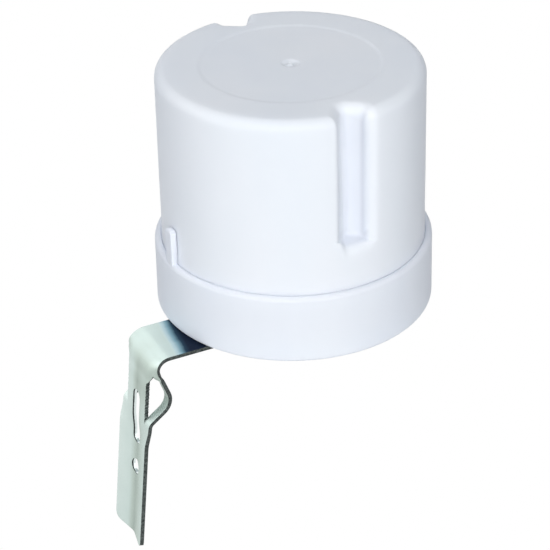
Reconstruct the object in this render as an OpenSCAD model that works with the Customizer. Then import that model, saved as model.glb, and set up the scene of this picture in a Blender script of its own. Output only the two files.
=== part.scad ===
// Dusk-to-dawn photocell switch: a milky cap snapped into a cup-shaped base, with the
// light sensor and its relay board inside, carried by a bent strip of galvanised steel.
// Millimetres, +Z up along the body. The origin is the wall screw hole in the bracket's leg.

/* [Base] */
// Outer diameter of the base at its foot
base_d = 70; // [66:0.5:80]
// Height of the rim above the underside
base_h = 17.7; // [16:0.1:22]
// Radius that the outer wall loses between foot and rim
base_draft = 0.16; // [0:0.02:0.4]
// Thickness of the floor
base_floor = 2.5; // [2:0.1:3.5]
// Rounding of the outer edge of the rim
rim_round = 1.2; // [0.4:0.1:1.4]
// Rounding of the foot
foot_round = 0.8; // [0.3:0.1:1.5]
// Height of the ledge that carries the seal
ledge_h = 5; // [4.4:0.1:6]
// Width of the ledge
ledge_w = 2.9; // [2.6:0.1:3.2]
// Width of the raised lug on the rim
lug_w = 3.1; // [2.4:0.1:8]
// Height of the lug above the rim
lug_h = 9.2; // [5:0.1:12]
// Turn of the lug from the bracket's direction
lug_turn = 2; // [-20:1:20]
// Rounding of the lug's edges
lug_round = 0.8; // [0.3:0.1:1]

/* [Cap] */
// Height of the cap's top above the underside of the base
cap_top = 63.1; // [56:0.1:72]
// Radial gap between cap and rim
cap_gap = 0.25; // [0.15:0.05:0.4]
// Width of the rim at its top
rim_w = 1.6; // [1.4:0.05:1.9]
// Wall thickness of the cap
cap_wall = 2; // [1.6:0.1:2.4]
// Radius that the cap loses between rim and top
cap_draft = 0.2; // [0:0.05:0.5]
// Rounding of the cap's top edge
top_round = 2.6; // [1.5:0.1:3.5]
// Diameter of the shallow panel sunk in the top
panel_d = 44; // [36:0.5:46]
// Depth of that panel
panel_depth = 0.3; // [0.1:0.05:0.6]
// Diameter of the dimple round the moulding gate
gate_d = 4.6; // [3:0.1:8]
// Depth of the dimple
gate_depth = 0.5; // [0.2:0.05:0.8]
// Height of the snap bead above the seal
bead_up = 4; // [3:0.1:5]
// How far the snap bead stands out
bead_out = 0.45; // [0.3:0.05:0.6]
// Half the height of the snap bead
bead_half = 1; // [0.7:0.1:1.3]

/* [Grip notches] */
// Turn of the cap in the base
cap_turn = -33; // [-60:1:-10]
// Distance of the steep wall's outer edge from the cap's middle
notch_side = 14; // [11:0.1:15]
// Lean of the steep wall
notch_draft = 6; // [2:1:10]
// Width of the flat floor
notch_w = 4.2; // [3:0.1:5]
// Distance of the floor from the cap's middle
notch_floor = 22.4; // [21.5:0.1:24]
// Lean of the wall from the floor out to the soft shoulder
notch_lean = 40; // [30:1:50]
// Height of the ledge's inner corner above the underside
notch_z = 29.2; // [24:0.1:36]
// Fall of the ledge towards the outside
notch_fall = 10; // [4:1:20]
// Rounding of the ledge into the cap's wall
notch_lip = 2.5; // [1:0.1:3]
// Rounding of the steep wall's outer edge
notch_edge = 0.9; // [0.4:0.1:1.4]
// Rounding of the creases beside the floor
notch_crease = 0.7; // [0.4:0.1:1]
// Rounding of the soft shoulder
notch_soft = 3; // [1:0.1:3]

/* [Seal] */
// Thickness of the seal under the cap
seal_t = 1.5; // [1:0.1:2]
// Room beside the seal on its ledge
seal_room = 0.2; // [0.1:0.05:0.4]

/* [Bracket] */
// Sheet thickness
strip_t = 1; // [0.8:0.1:1.4]
// Width of the strip
strip_w = 16; // [14:0.5:18]
// Distance of the strip's centre line from the body's axis
flange_off = 6.9; // [4:0.1:8]
// Distance from the body's axis to the start of the bend
flange_reach = 41.3; // [39:0.1:48]
// Length of the flange beyond the body's axis
flange_tail = 6; // [5:0.5:12]
// Inside radius of the bend
bend_r = 4.5; // [3:0.1:6]
// Lean of the leg from upright
leg_lean = 5.9; // [2:0.1:10]
// Length of the leg below the bend
leg_len = 50.2; // [46:0.1:60]
// Rounding of the strip's corners
strip_corner = 2; // [1:0.1:4]
// Distance from the bend to the wall screw hole
hole_down = 30.3; // [29.5:0.1:36]
// Diameter of the wall screw hole
hole_d = 4.2; // [3:0.1:5.5]
// Distance from the bend to the upper end of the slot
slot_down = 7.4; // [6:0.1:9]
// Length of the slot
slot_len = 15.9; // [12:0.1:16.5]
// Width of the slot
slot_w = 4; // [2.5:0.1:4.5]
// How far the pressed trough stands towards the body
trough_in = 0.85; // [0:0.05:1]
// How far the edges of the trough stand towards the wall
trough_out = 0.75; // [0.1:0.05:1]
// Height over which the trough runs in
trough_run = 6; // [4:0.5:7]

/* [Strap loops] */
// Width of each lanced loop
loop_w = 2.6; // [2:0.1:3.2]
// Point on the bend where the loops part from the strip
loop_start = 43; // [38:1:52]
// Length of the leg beside the loops
loop_down = 14.4; // [13.5:0.1:16]
// Slope of the loops' upper half
loop_rise = 26; // [22:1:30]
// Slope of the loops' lower half
loop_fall = 48; // [44:1:54]
// Bend radius at the loops' ends
loop_end_r = 2; // [1.6:0.1:2.6]
// Bend radius at the loops' crown
loop_crown_r = 4; // [2.5:0.1:4.5]

/* [Bracket screws] */
// Distance of the outer screw from the body's axis
screw_x = 22; // [19:0.1:24]
// Distance between the two screws
screw_pitch = 20; // [17:0.1:22]
// Thread diameter
screw_d = 3.5; // [3:0.1:4]
// Length under the head
screw_len = 10; // [9:0.1:11]
// Diameter of the head
screw_head_d = 7; // [6:0.1:8]
// Height of the head
screw_head_h = 2.4; // [1.8:0.1:3]
// Diameter of the lock washer
washer_d = 7.6; // [7:0.1:9]
// Thickness of the lock washer
washer_t = 0.8; // [0.5:0.1:1.2]
// Diameter of the boss round each screw
boss_d = 7.4; // [6.5:0.1:8]
// Thickness of the boss over the screw's end
boss_roof = 1.5; // [1:0.1:2]
// Room round each screw in the flange
screw_room = 0.4; // [0.2:0.05:0.6]

/* [Wire inlet] */
// Distance of the inlet from the body's axis
inlet_y = 14; // [12.5:0.1:15]
// Diameter of the hole in the floor
inlet_d = 11; // [10:0.1:12]
// How far the grommet's rims reach past the hole
inlet_lip = 1.4; // [1:0.1:1.8]
// Thickness of the grommet's rims
inlet_lip_t = 1.5; // [1:0.1:2]
// Diameter of each wire hole
wire_d = 2.9; // [2:0.1:3.4]
// Distance of the wire holes from the grommet's middle
wire_ring = 2.8; // [2.4:0.1:3.2]

/* [Circuit board] */
// Width of the board
board_w = 46; // [44:0.5:48]
// Depth of the board
board_d = 40; // [39:0.5:42]
// Thickness of the board
board_t = 1.6; // [1:0.1:2]
// Height of the board's underside
board_z = 12; // [11:0.1:14]
// Cut across each corner
board_cut = 5; // [4:0.1:7]
// Distance of the posts from the middle, across
post_x = 17; // [16.5:0.1:17.5]
// Distance of the posts from the middle, in depth
post_y = 15.5; // [15:0.1:15.8]
// Diameter of the posts
post_d = 6; // [5:0.1:6.5]
// Thread diameter of the board screws
pin_d = 2.9; // [2.2:0.1:3]
// Length of the board screws under the head
pin_len = 7.5; // [6:0.1:8.5]
// Diameter of the board screws' heads
pin_head_d = 5.6; // [4.5:0.1:5.8]
// Height of those heads
pin_head_h = 2; // [1.5:0.1:2.4]

/* [Components] */
// Width of the relay
relay_w = 24; // [20:0.5:24]
// Depth of the relay
relay_d = 20; // [18:0.5:20]
// Height of the relay
relay_h = 20; // [14:0.5:22]
// Width of the film capacitor
film_w = 24; // [18:0.5:24]
// Depth of the film capacitor
film_d = 9; // [7:0.5:9]
// Height of the film capacitor
film_h = 17; // [12:0.5:20]
// Diameter of the smoothing capacitor
can_d = 10; // [8:0.1:10]
// Height of the smoothing capacitor
can_h = 16; // [10:0.5:20]
// Diameter of the varistor
varistor_d = 9; // [7:0.1:10]
// Thickness of the varistor
varistor_t = 4; // [3:0.1:4.5]
// Diameter of the diodes
diode_d = 2.6; // [2:0.1:2.8]
// Length of the diodes
diode_len = 5; // [4:0.1:5.4]
// Diameter of the zener diode
zener_d = 1.8; // [1.4:0.1:2]
// Length of the zener diode
zener_len = 3.8; // [3:0.1:5]
// Diameter of the resistors
resistor_d = 2.3; // [1.8:0.1:2.6]
// Length of the resistors
resistor_len = 6.3; // [5:0.1:6.6]
// Diameter of the fusible resistor
fuse_d = 3.4; // [3:0.1:3.6]
// Length of the fusible resistor
fuse_len = 9; // [8:0.1:9.5]
// Diameter of the transistor
transistor_d = 4.6; // [4:0.1:4.8]
// Height of the transistor
transistor_h = 4.6; // [4:0.1:5.5]
// Diameter of the ceramic capacitor
disc_d = 5; // [4:0.1:6]
// Thickness of the ceramic capacitor
disc_t = 2.4; // [2:0.1:2.6]
// Diameter of the photoresistor
sensor_d = 7; // [5:0.1:12]
// Thickness of the photoresistor
sensor_t = 2.6; // [2:0.1:3]
// Height of the photoresistor's face above the underside of the base
sensor_z = 41; // [38:0.5:48]
// Distance between the photoresistor's leads
sensor_pitch = 3.4; // [2.5:0.1:4.4]
// Distance of the side components from the board's middle
side_x = 17.6; // [17.4:0.1:17.8]
// Gap between neighbouring components
part_gap = 0.8; // [0.6:0.05:0.9]
// Length of lead that an axial component shows on the board
lead_reach = 2.6; // [2.4:0.1:2.8]
// Distance between the transistor's leads
transistor_pitch = 1.27; // [1:0.01:1.4]
// Distance of the relay's pins from its sides
relay_pin_in = 3; // [2.5:0.1:4]
// Distance of the film capacitor's leads from its ends
film_pin_in = 1.5; // [1.2:0.1:2.5]
// Wall thickness of the sleeves on the sensor's leads
sleeve_t = 0.25; // [0.2:0.05:0.35]

/* [Wire eyelets] */
// Distance between the eyelets
eyelet_pitch = 7; // [5:0.1:8]
// Distance of the eyelets from the board's edge
eyelet_in = 1.9; // [1.7:0.1:2.2]
// Outer diameter of the eyelets' barrel
eyelet_d = 1.6; // [1.2:0.1:1.8]
// Outer diameter of the eyelets' flange
eyelet_flange_d = 2.6; // [2.4:0.1:3]
// Thickness of the eyelets' sheet
eyelet_t = 0.3; // [0.2:0.05:0.4]

/* [Leads and clearances] */
// Diameter of the component leads
lead_d = 0.6; // [0.5:0.05:0.7]
// Length of lead below the board
lead_tail = 1.4; // [1:0.1:2]
// Gap between leads, screws or rims and their holes
fit = 0.08; // [0.05:0.01:0.12]
// Gap under components that stand off the board
stand = 0.3; // [0.2:0.05:0.5]

/* [Hidden] */
$fn = 96;

// Small overlap past a face that is cut away
over = 1;
// Steps in each rounded corner and each bend
arc_steps = 6;

// Cup, cap and seal
base_r = base_d / 2;
rim_r = base_r - base_draft;
rim_in = rim_r - rim_w;
ledge_in = rim_in - ledge_w;
cap_r = rim_in - cap_gap;
cap_z = ledge_h + seal_t;
cap_in = cap_r - cap_wall;
bead_z = cap_z + bead_up;
bead_gap = cap_gap / 2;
edge_in = 0.4;
// The ledge's lip starts this far inside the cap's wall and runs out through it this steeply
lip_in = 0.9;
lip_steep = 70;
// Share of the notch's slope that the shoulder's rounding may take
shoulder_share = 0.85;

// Bracket: the side profile is [x, z] from the body's axis, with the flange's top at z = 0
bend_mid = bend_r + strip_t / 2;
bend_out = bend_r + strip_t;
leg_turn = 90 - leg_lean;
neck_w = strip_w - 2 * loop_w;
leg_x = -flange_reach - bend_out * sin(leg_turn);
leg_z = -bend_out + bend_out * cos(leg_turn);
hole_n = trough_in + strip_t / 2;
hole_at = [leg_x - hole_down * cos(leg_turn) + hole_n * sin(leg_turn), -flange_off,
           leg_z - hole_down * sin(leg_turn) - hole_n * cos(leg_turn)];
screw_r = screw_d / 2;
screws_at = [for (i = [0, 1]) [-screw_x + i * screw_pitch, -flange_off]];
flange_hole_r = screw_r + screw_room;
boss_h = screw_len - strip_t - washer_t + boss_roof;

// Board and the places of its components
board_top = board_z + board_t;
posts_at = [for (sx = [-1, 1], sy = [-1, 1]) [sx * post_x, sy * post_y]];
pins_at = [posts_at[0], posts_at[3]];
pin_r = pin_d / 2;
lead_r = lead_d / 2;
lead_hole_r = lead_r + fit;
relay_at = [0, -6.3];
film_at = [0, relay_at.y + relay_d / 2 + 2 * part_gap + film_d / 2];
sensor_at = [0, relay_at.y + relay_d / 2 + part_gap];
can_at = [side_x, -2.2];
varistor_at = [-side_x, -2.6];
disc_at = [-side_x, varistor_at.y - varistor_d / 2 - disc_t / 2 - part_gap];
transistor_at = [side_x + part_gap, can_at.y - can_d / 2 - transistor_d / 2 - stand];
diode_pitch = diode_len + lead_reach;
diode_step = diode_d + part_gap;
diodes_at = [for (s = [-1, 1], i = [0, 1]) [s * side_x, 4.7 + i * diode_step]];
zener_at = [-side_x, diodes_at[1].y + diode_d / 2 + zener_d / 2 + part_gap / 2];
row_y = board_d / 2 - fuse_d / 2 - 1;
fuse_at = [-6.4, row_y];
fuse_pitch = fuse_len + lead_reach;
resistors_at = [[6.6, row_y]];
resistor_pitch = resistor_len + lead_reach;
eyelets_at = [for (i = [-1:1]) [i * eyelet_pitch, -board_d / 2 + eyelet_in]];
eyelet_r = eyelet_d / 2;
eyelet_flange_r = eyelet_flange_d / 2;
relay_pin_x = relay_w / 2 - relay_pin_in;
relay_pin_y = relay_d / 2 - relay_pin_in;
relay_pins = concat([for (sx = [-1, 1], sy = [-1, 1]) relay_at + [sx * relay_pin_x, sy * relay_pin_y]],
                    [relay_at]);
film_pins = [for (s = [-1, 1]) film_at + [s * (film_w / 2 - film_pin_in), 0]];
can_pins = [for (s = [-1, 1]) can_at + [0, s * can_d / 4]];
varistor_pins = [for (s = [-1, 1]) varistor_at + [0, s * varistor_d / 4]];
disc_pins = [for (s = [-1, 1]) disc_at + [s * disc_d / 4, 0]];
transistor_pins = [for (i = [-1:1]) transistor_at + [i * transistor_pitch, 0]];
sensor_pins = [for (s = [-1, 1]) sensor_at + [s * sensor_pitch / 2, 0]];
function axial_pins(at, pitch) = [for (s = [-1, 1]) at + [s * pitch / 2, 0]];
all_pins = concat(relay_pins, film_pins, can_pins, varistor_pins, disc_pins, transistor_pins, sensor_pins,
                  [for (at = diodes_at) each axial_pins(at, diode_pitch)],
                  axial_pins(zener_at, diode_pitch), axial_pins(fuse_at, fuse_pitch),
                  [for (at = resistors_at) each axial_pins(at, resistor_pitch)]);

function unit(v) = v / norm(v);

// Points of a corner at p between its neighbours a and b, rounded to radius r
function corner(a, p, b, r) =
    let (u = unit(a - p), v = unit(b - p), half = acos(u * v) / 2, mid = unit(u + v),
         c = p + mid * r / sin(half), s = p + u * r / tan(half) - c,
         side = sign(u.x * v.y - u.y * v.x), sweep = -side * (180 - 2 * half))
    r == 0 ? [p] : [for (i = [0:arc_steps]) let (t = sweep * i / arc_steps)
                    c + [s.x * cos(t) - s.y * sin(t), s.x * sin(t) + s.y * cos(t)]];

// Outline through [x, y, radius] corners
function rounded(pts) =
    let (n = len(pts), p = [for (q = pts) [q.x, q.y]])
    [for (i = [0:n - 1]) each corner(p[(i + n - 1) % n], p[i], p[(i + 1) % n], pts[i].z)];

// A bent strip is followed by its heading: 0 runs outwards along the flange, 90 runs down
function heading(h) = [-cos(h), -sin(h)];
function inward(h) = [sin(h), -cos(h)];
function bend_point(h) = [-flange_reach, -bend_out] - bend_mid * inward(h);

// Stations [x, z, heading] along a bend from heading h to heading g, which starts at p
function bend_run(p, h, g, r) =
    let (k = g > h ? r : -r)
    [for (i = [0:arc_steps]) let (a = h + (g - h) * i / arc_steps, q = p + k * (inward(h) - inward(a)))
     [q.x, q.y, a]];
function run_end(run) = let (q = run[len(run) - 1]) [q.x, q.y];

// Outline of a strip of the sheet's thickness along its stations
function strip_outline(run) =
    let (face = function(s) [for (q = run) [q.x, q.y] + s * strip_t / 2 * inward(q.z)], back = face(1))
    concat(face(-1), [for (i = [len(back) - 1:-1:0]) back[i]]);

// The flange and the common bend, the neck between the loops, and one loop
top_bend = bend_run(bend_point(0), 0, loop_start, bend_mid);
low_bend = bend_run(bend_point(loop_start), loop_start, leg_turn, bend_mid);
flange_run = concat([[flange_tail, -strip_t / 2, 0]], top_bend);
neck_end = bend_point(leg_turn) + loop_down * heading(leg_turn);
tail_end = neck_end + over / 4 * heading(leg_turn);
tail = [[tail_end.x, tail_end.y, leg_turn]];
neck_run = concat(top_bend, [for (i = [1:arc_steps]) low_bend[i]], tail);
loop_up = 90 + loop_rise;
loop_back = 90 - loop_fall;
loop_in = bend_run(bend_point(loop_start), loop_start, loop_up, loop_end_r);
crown_0 = bend_run([0, 0], loop_up, loop_back, loop_crown_r);
foot_0 = bend_run([0, 0], loop_back, leg_turn, loop_end_r);
loop_gap = neck_end - run_end(loop_in) - run_end(crown_0) - run_end(foot_0);
function cross2(a, b) = a.x * b.y - a.y * b.x;
loop_len_up = cross2(loop_gap, heading(loop_back)) / cross2(heading(loop_up), heading(loop_back));
crown_at = run_end(loop_in) + loop_len_up * heading(loop_up);
crown = bend_run(crown_at, loop_up, loop_back, loop_crown_r);
loop_len_down = cross2(heading(loop_up), loop_gap) / cross2(heading(loop_up), heading(loop_back));
foot_at = run_end(crown) + loop_len_down * heading(loop_back);
loop_foot = bend_run(foot_at, loop_back, leg_turn, loop_end_r);
loop_run = concat([top_bend[arc_steps - 1]], loop_in, crown, loop_foot, tail);

// Moves a piece from the body's axis at the underside of the base to the part's frame
module on_body() {
    translate(-hole_at) children();
}

// Turns a piece to the leg: z up along it, x towards the body, at the leg's upper end
module on_leg() {
    translate([leg_x, -flange_off, leg_z]) rotate([0, leg_lean, 0]) children();
}

// Where a line from p in direction d leaves a circle of radius r
function leaves(p, d, r) = p + d * (sqrt((p * d) * (p * d) - p * p + r * r) - p * d);

// Plan outline of a grip notch, offset into the wall by grow
module notch_outline(grow) {
    r = cap_r - grow;
    side = notch_side - grow;
    floor_y = -notch_floor + grow;
    lean_in = (sqrt(cap_r * cap_r - notch_side * notch_side) - notch_floor) * tan(notch_draft);
    crease_x = notch_side + lean_in + notch_w + grow * tan((90 - notch_lean) / 2);
    wall_top = [side, -sqrt(r * r - side * side)];
    shoulder = leaves([crease_x, floor_y], [sin(notch_lean), -cos(notch_lean)], r);
    reach = cap_wall + notch_soft;
    left = wall_top + reach * unit([wall_top.y, -wall_top.x]);
    right = shoulder + reach * unit([-shoulder.y, shoulder.x]);
    slope = norm(shoulder - [crease_x, floor_y]);
    soft = grow == 0 ? min(notch_soft, slope * shoulder_share) : 0;
    edge = grow == 0 ? notch_edge : 0;
    crease = notch_crease + grow;
    polygon(rounded([[left.x, left.y, 0], [wall_top.x, wall_top.y, edge], [side + lean_in, floor_y, crease],
                     [crease_x, floor_y, crease], [shoulder.x, shoulder.y, soft],
                     [right.x, right.y, 0], [right.x, -base_r, 0], [left.x, -base_r, 0]]));
}

// Room above the ledge: a revolved slope that rounds over into the cap's wall
module above_ledge(grow) {
    corner_r = norm([notch_side, notch_floor]);
    slope_r = cap_r - grow - lip_in;
    start_z = notch_z - grow + (corner_r - notch_side) * tan(notch_fall);
    slope_z = start_z - (slope_r - notch_side) * tan(notch_fall);
    foot_z = slope_z - (base_r - slope_r) * tan(lip_steep);
    lip = max(notch_lip - grow, edge_in);
    rotate_extrude() polygon(rounded([[notch_side, start_z, 0], [slope_r, slope_z, lip], [base_r, foot_z, 0],
                                      [base_r, cap_top + over, 0], [notch_side, cap_top + over, 0]]));
}

// Both grip notches, half a turn apart, open at the top and run out over a rounded ledge
module notches(grow) {
    for (turn = [0, 180]) rotate([0, 0, turn]) intersection() {
        translate([0, 0, cap_z]) linear_extrude(cap_top - cap_z + over) notch_outline(grow);
        above_ledge(grow);
    }
}

// Milky moulded cap: a thin shell with a snap bead and two grip notches
module cap() {
    gate_z = cap_top - panel_depth - gate_depth;
    color("white") on_body() rotate([0, 0, cap_turn]) difference() {
        rotate_extrude() polygon(rounded([[0, cap_z, 0], [cap_r, cap_z, edge_in],
            [cap_r, bead_z - bead_half, 0], [cap_r + bead_out, bead_z, 0], [cap_r, bead_z + bead_half, 0],
            [cap_r, base_h, 0], [cap_r - cap_draft, cap_top, top_round], [0, cap_top, 0]]));
        notches(0);
        difference() {
            rotate_extrude() polygon(rounded([[0, cap_z - over, 0], [cap_in, cap_z - over, 0],
                [cap_in, base_h, 0], [cap_in - cap_draft, cap_top - cap_wall, top_round / 2],
                [0, cap_top - cap_wall, 0]]));
            notches(cap_wall);
        }
        translate([0, 0, cap_top - panel_depth]) cylinder(d = panel_d, h = over);
        difference() {
            translate([0, 0, gate_z]) cylinder(d1 = gate_d / 2, d2 = gate_d, h = gate_depth);
            translate([0, 0, gate_z]) cylinder(d = gate_d / 4, h = gate_depth / 2);
        }
    }
}

// Lug on the rim, as a slice of the wall with rounded upper corners
module rim_lug() {
    lug_top = base_h + lug_h;
    lug_foot = base_h - rim_round * 2;
    lug_in = cap_r + cap_gap / 2;
    lug_out = rim_r - rim_round / 6;
    shoulder = min(1.6 * lug_round, lug_w / 2.5);
    intersection() {
        rotate_extrude() polygon(rounded([[lug_in, lug_foot, 0], [lug_out, lug_foot, 0],
            [lug_out, lug_top, lug_round], [lug_in, lug_top, edge_in]]));
        rotate([0, 0, 180 + lug_turn]) rotate([90, 0, 90]) linear_extrude(base_r + over)
            polygon(rounded([[-lug_w / 2, 0, 0], [lug_w / 2, 0, 0], [lug_w / 2, lug_top, shoulder],
                             [-lug_w / 2, lug_top, shoulder]]));
    }
}

// Moulded cup with the seal's ledge, the snap groove, screw bosses and board posts
module base() {
    groove = bead_out - cap_gap + bead_gap;
    color("whitesmoke") on_body() difference() {
        union() {
            rotate_extrude() polygon(rounded([[0, 0, 0], [base_r, 0, foot_round], [rim_r, base_h, rim_round],
                [rim_in, base_h, edge_in], [rim_in, bead_z + bead_half, 0], [rim_in + groove, bead_z, 0],
                [rim_in, bead_z - bead_half, 0], [rim_in, ledge_h, 0], [ledge_in, ledge_h, 0],
                [ledge_in, base_floor, edge_in], [0, base_floor, 0]]));
            rim_lug();
            for (at = screws_at) translate(at) cylinder(d = boss_d, h = boss_h);
            for (at = posts_at) translate(at) cylinder(d = post_d, h = board_z);
        }
        for (at = screws_at) translate([at.x, at.y, -over])
            cylinder(r = screw_r + fit, h = screw_len - strip_t - washer_t + over + fit);
        for (at = pins_at) translate([at.x, at.y, board_top - pin_len - fit])
            cylinder(r = pin_r + fit, h = pin_len + over);
        translate([0, inlet_y, -over]) cylinder(d = inlet_d, h = base_floor + 2 * over);
    }
}

// Rubber ring between the cap's lower edge and the ledge
module cover_seal() {
    outer = rim_in - seal_room;
    inner = ledge_in + seal_room;
    color("dimgray") on_body() rotate_extrude() polygon(rounded([[inner, ledge_h, edge_in],
        [outer, ledge_h, edge_in], [outer, cap_z, edge_in], [inner, cap_z, edge_in]]));
}

// Side profile of the strip, drawn through and centred on its width
module strip(run, width) {
    rotate([90, 0, 0]) translate([0, 0, -width / 2]) linear_extrude(width) polygon(strip_outline(run));
}

// Lower leg: flat beside the loops, then pressed to a shallow trough along its middle
module trough() {
    half = strip_w / 2;
    flat_end = -loop_down - over / 2;
    levels = [[over - loop_down, 0], [flat_end, 0], [flat_end - trough_run, 1], [-leg_len, 1]];
    ring = function(q) [for (n = [0, strip_t], y = [-1, 0, 1])
                        [n + q[1] * (y == 0 ? trough_in : -trough_out), y * half, q[0]]];
    pts = [for (q = levels) each ring(q)];
    loop = [0, 1, 2, 5, 4, 3];
    n = len(loop);
    sides = [for (k = [0:len(levels) - 2], i = [0:n - 1])
             let (a = n * k + loop[i], b = n * k + loop[(i + 1) % n])
             each [[a, a + n, b], [b, a + n, b + n]]];
    ends = [[0, 1, 4, 3], [1, 2, 5, 4]];
    foot = [for (f = ends) [for (i = [3:-1:0]) f[i] + n * (len(levels) - 1)]];
    intersection() {
        polyhedron(pts, concat(sides, ends, foot));
        rotate([90, 0, 90]) translate([0, 0, -base_r]) linear_extrude(base_d)
            polygon(rounded([[-half, over, 0], [-half, -leg_len, strip_corner],
                             [half, -leg_len, strip_corner], [half, over, 0]]));
    }
}

// Bent and lanced strip of galvanised sheet: flange, bend, two strap loops and slotted leg
module bracket() {
    half = strip_w / 2;
    far = -flange_reach - base_r;
    color("silver") on_body() difference() {
        union() {
            translate([0, -flange_off, 0]) {
                intersection() {
                    strip(flange_run, strip_w);
                    translate([0, 0, -base_r]) linear_extrude(base_d)
                        polygon(rounded([[far, -half, 0], [flange_tail, -half, strip_corner],
                                         [flange_tail, half, strip_corner], [far, half, 0]]));
                }
                strip(neck_run, neck_w);
                for (s = [-1, 1]) translate([0, s * (strip_w - loop_w) / 2, 0]) strip(loop_run, loop_w);
            }
            on_leg() trough();
        }
        for (at = screws_at) translate([at.x, at.y, -strip_t - over])
            cylinder(r = flange_hole_r, h = strip_t + 2 * over);
        on_leg() translate([-base_r / 2, 0, 0]) rotate([0, 90, 0]) {
            translate([hole_down, 0, 0]) cylinder(d = hole_d, h = base_r);
            for (end = [slot_down + slot_w / 2, slot_down + slot_len - slot_w / 2])
                translate([end, 0, 0]) cylinder(d = slot_w, h = base_r);
            translate([slot_down + slot_w / 2, -slot_w / 2, 0]) cube([slot_len - slot_w, slot_w, base_r]);
        }
    }
}

// Pan head with a cross recess, pointing up from the head's seat at z = 0
module pan_screw(d, length, head_d, head_h) {
    slot = head_d / 6;
    difference() {
        union() {
            rotate_extrude() polygon(rounded([[0, -head_h, 0], [head_d / 2, -head_h, head_h * 0.6],
                [head_d / 2, 0, 0], [0, 0, 0]]));
            cylinder(d = d, h = length - d / 2);
            translate([0, 0, length - d / 2]) cylinder(d1 = d, d2 = d / 4, h = d / 2);
        }
        for (turn = [0, 90]) rotate([0, 0, turn]) translate([-head_d / 4, -slot / 2, -head_h - over])
            cube([head_d / 2, slot, over + head_h / 2]);
    }
}

// Self-tapping screws that hold the flange under the base
module bracket_screws() {
    color("silver") on_body() for (at = screws_at) translate([at.x, at.y, -strip_t - washer_t])
        pan_screw(screw_d, screw_len, screw_head_d, screw_head_h);
}

// Split lock washers under those screws
module lock_washers() {
    color("gray") on_body() for (at = screws_at) translate([at.x, at.y, -strip_t - washer_t]) difference() {
        cylinder(d = washer_d, h = washer_t);
        translate([0, 0, -over]) cylinder(r = screw_r + fit, h = washer_t + 2 * over);
        translate([0, -fit, -over]) rotate([0, 0, 20]) cube([washer_d, 3 * fit, washer_t + 2 * over]);
    }
}

// Rubber grommet in the floor, with a hole for each wire
module wire_grommet() {
    neck = inlet_d / 2 - fit;
    lip = inlet_d / 2 + inlet_lip;
    color("dimgray") on_body() translate([0, inlet_y, 0]) difference() {
        rotate_extrude() polygon(rounded([[0, -inlet_lip_t, 0], [lip, -inlet_lip_t, inlet_lip_t / 2],
            [lip, 0, 0], [neck, 0, 0], [neck, base_floor, 0], [lip, base_floor, 0],
            [lip, base_floor + inlet_lip_t, inlet_lip_t / 2], [0, base_floor + inlet_lip_t, 0]]));
        for (turn = [0, 120, 240]) rotate([0, 0, turn]) translate([0, wire_ring, -inlet_lip_t - over])
            cylinder(d = wire_d, h = base_floor + 2 * inlet_lip_t + 2 * over);
    }
}

// Board with its corners cut, drilled for screws, leads and eyelets
module circuit_board() {
    color("tan") on_body() difference() {
        translate([0, 0, board_z]) linear_extrude(board_t) intersection() {
            square([board_w, board_d], center = true);
            rotate([0, 0, 45]) square((board_w + board_d - 2 * board_cut) / sqrt(2), center = true);
        }
        translate([0, 0, board_z - over]) {
            for (at = pins_at) translate(at) cylinder(r = pin_r + fit, h = board_t + 2 * over);
            for (at = all_pins) translate(at)
                cylinder(r = lead_hole_r, h = board_t + 2 * over, $fn = 24);
            for (at = eyelets_at) translate(at)
                cylinder(r = eyelet_r + fit, h = board_t + 2 * over, $fn = 24);
        }
    }
}

// Screws that hold the board on two of its posts
module board_screws() {
    color("silver") on_body() for (at = pins_at) translate([at.x, at.y, board_top]) rotate([180, 0, 0])
        pan_screw(pin_d, pin_len, pin_head_d, pin_head_h);
}

// Straight leads from below the board up to a height
module leads(pins, top) {
    for (at = pins) translate([at.x, at.y, board_z - lead_tail])
        cylinder(r = lead_r, h = top - board_z + lead_tail, $fn = 24);
}

// Upright box with rounded upright edges, standing on the board
module box_case(at, size, round) {
    x = size.x / 2;
    y = size.y / 2;
    translate([at.x, at.y, board_top]) linear_extrude(size.z)
        polygon(rounded([[x, y, round], [-x, y, round], [-x, -y, round], [x, -y, round]]));
}

// Sealed power relay
module relay() {
    color("royalblue") on_body() {
        box_case(relay_at, [relay_w, relay_d, relay_h], 1);
        leads(relay_pins, board_top + over);
    }
}

// Film capacitor that drops the mains voltage
module film_capacitor() {
    color("firebrick") on_body() {
        box_case(film_at, [film_w, film_d, film_h], 0.6);
        leads(film_pins, board_top + over);
    }
}

// Electrolytic smoothing capacitor with a crimped can
module smoothing_capacitor() {
    r = can_d / 2;
    crimp = can_d / 20;
    color("midnightblue") on_body() {
        translate([can_at.x, can_at.y, board_top + stand]) rotate_extrude() polygon(rounded([[0, 0, 0],
            [r, 0, crimp], [r, 2 * crimp, 0], [r - crimp, 3 * crimp, 0], [r, 4 * crimp, 0],
            [r, can_h, crimp], [0, can_h, 0]]));
        leads(can_pins, board_top + stand + over);
    }
}

// Coated disc on two leads, turned about the upright by turn
module coated_disc(at, d, t, turn, pins) {
    z = board_top + stand + d / 2;
    translate([at.x, at.y, z]) rotate([90, 0, turn]) rotate_extrude() polygon(rounded([[0, -t / 2, 0],
        [d / 2, -t / 2, t / 2.2], [d / 2, t / 2, t / 2.2], [0, t / 2, 0]]));
    leads(pins, z);
}

// Surge varistor
module varistor() {
    color("teal") on_body() coated_disc(varistor_at, varistor_d, varistor_t, 90, varistor_pins);
}

// Ceramic capacitor that slows the switching
module ceramic_capacitor() {
    color("peru") on_body() coated_disc(disc_at, disc_d, disc_t, 0, disc_pins);
}

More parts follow.
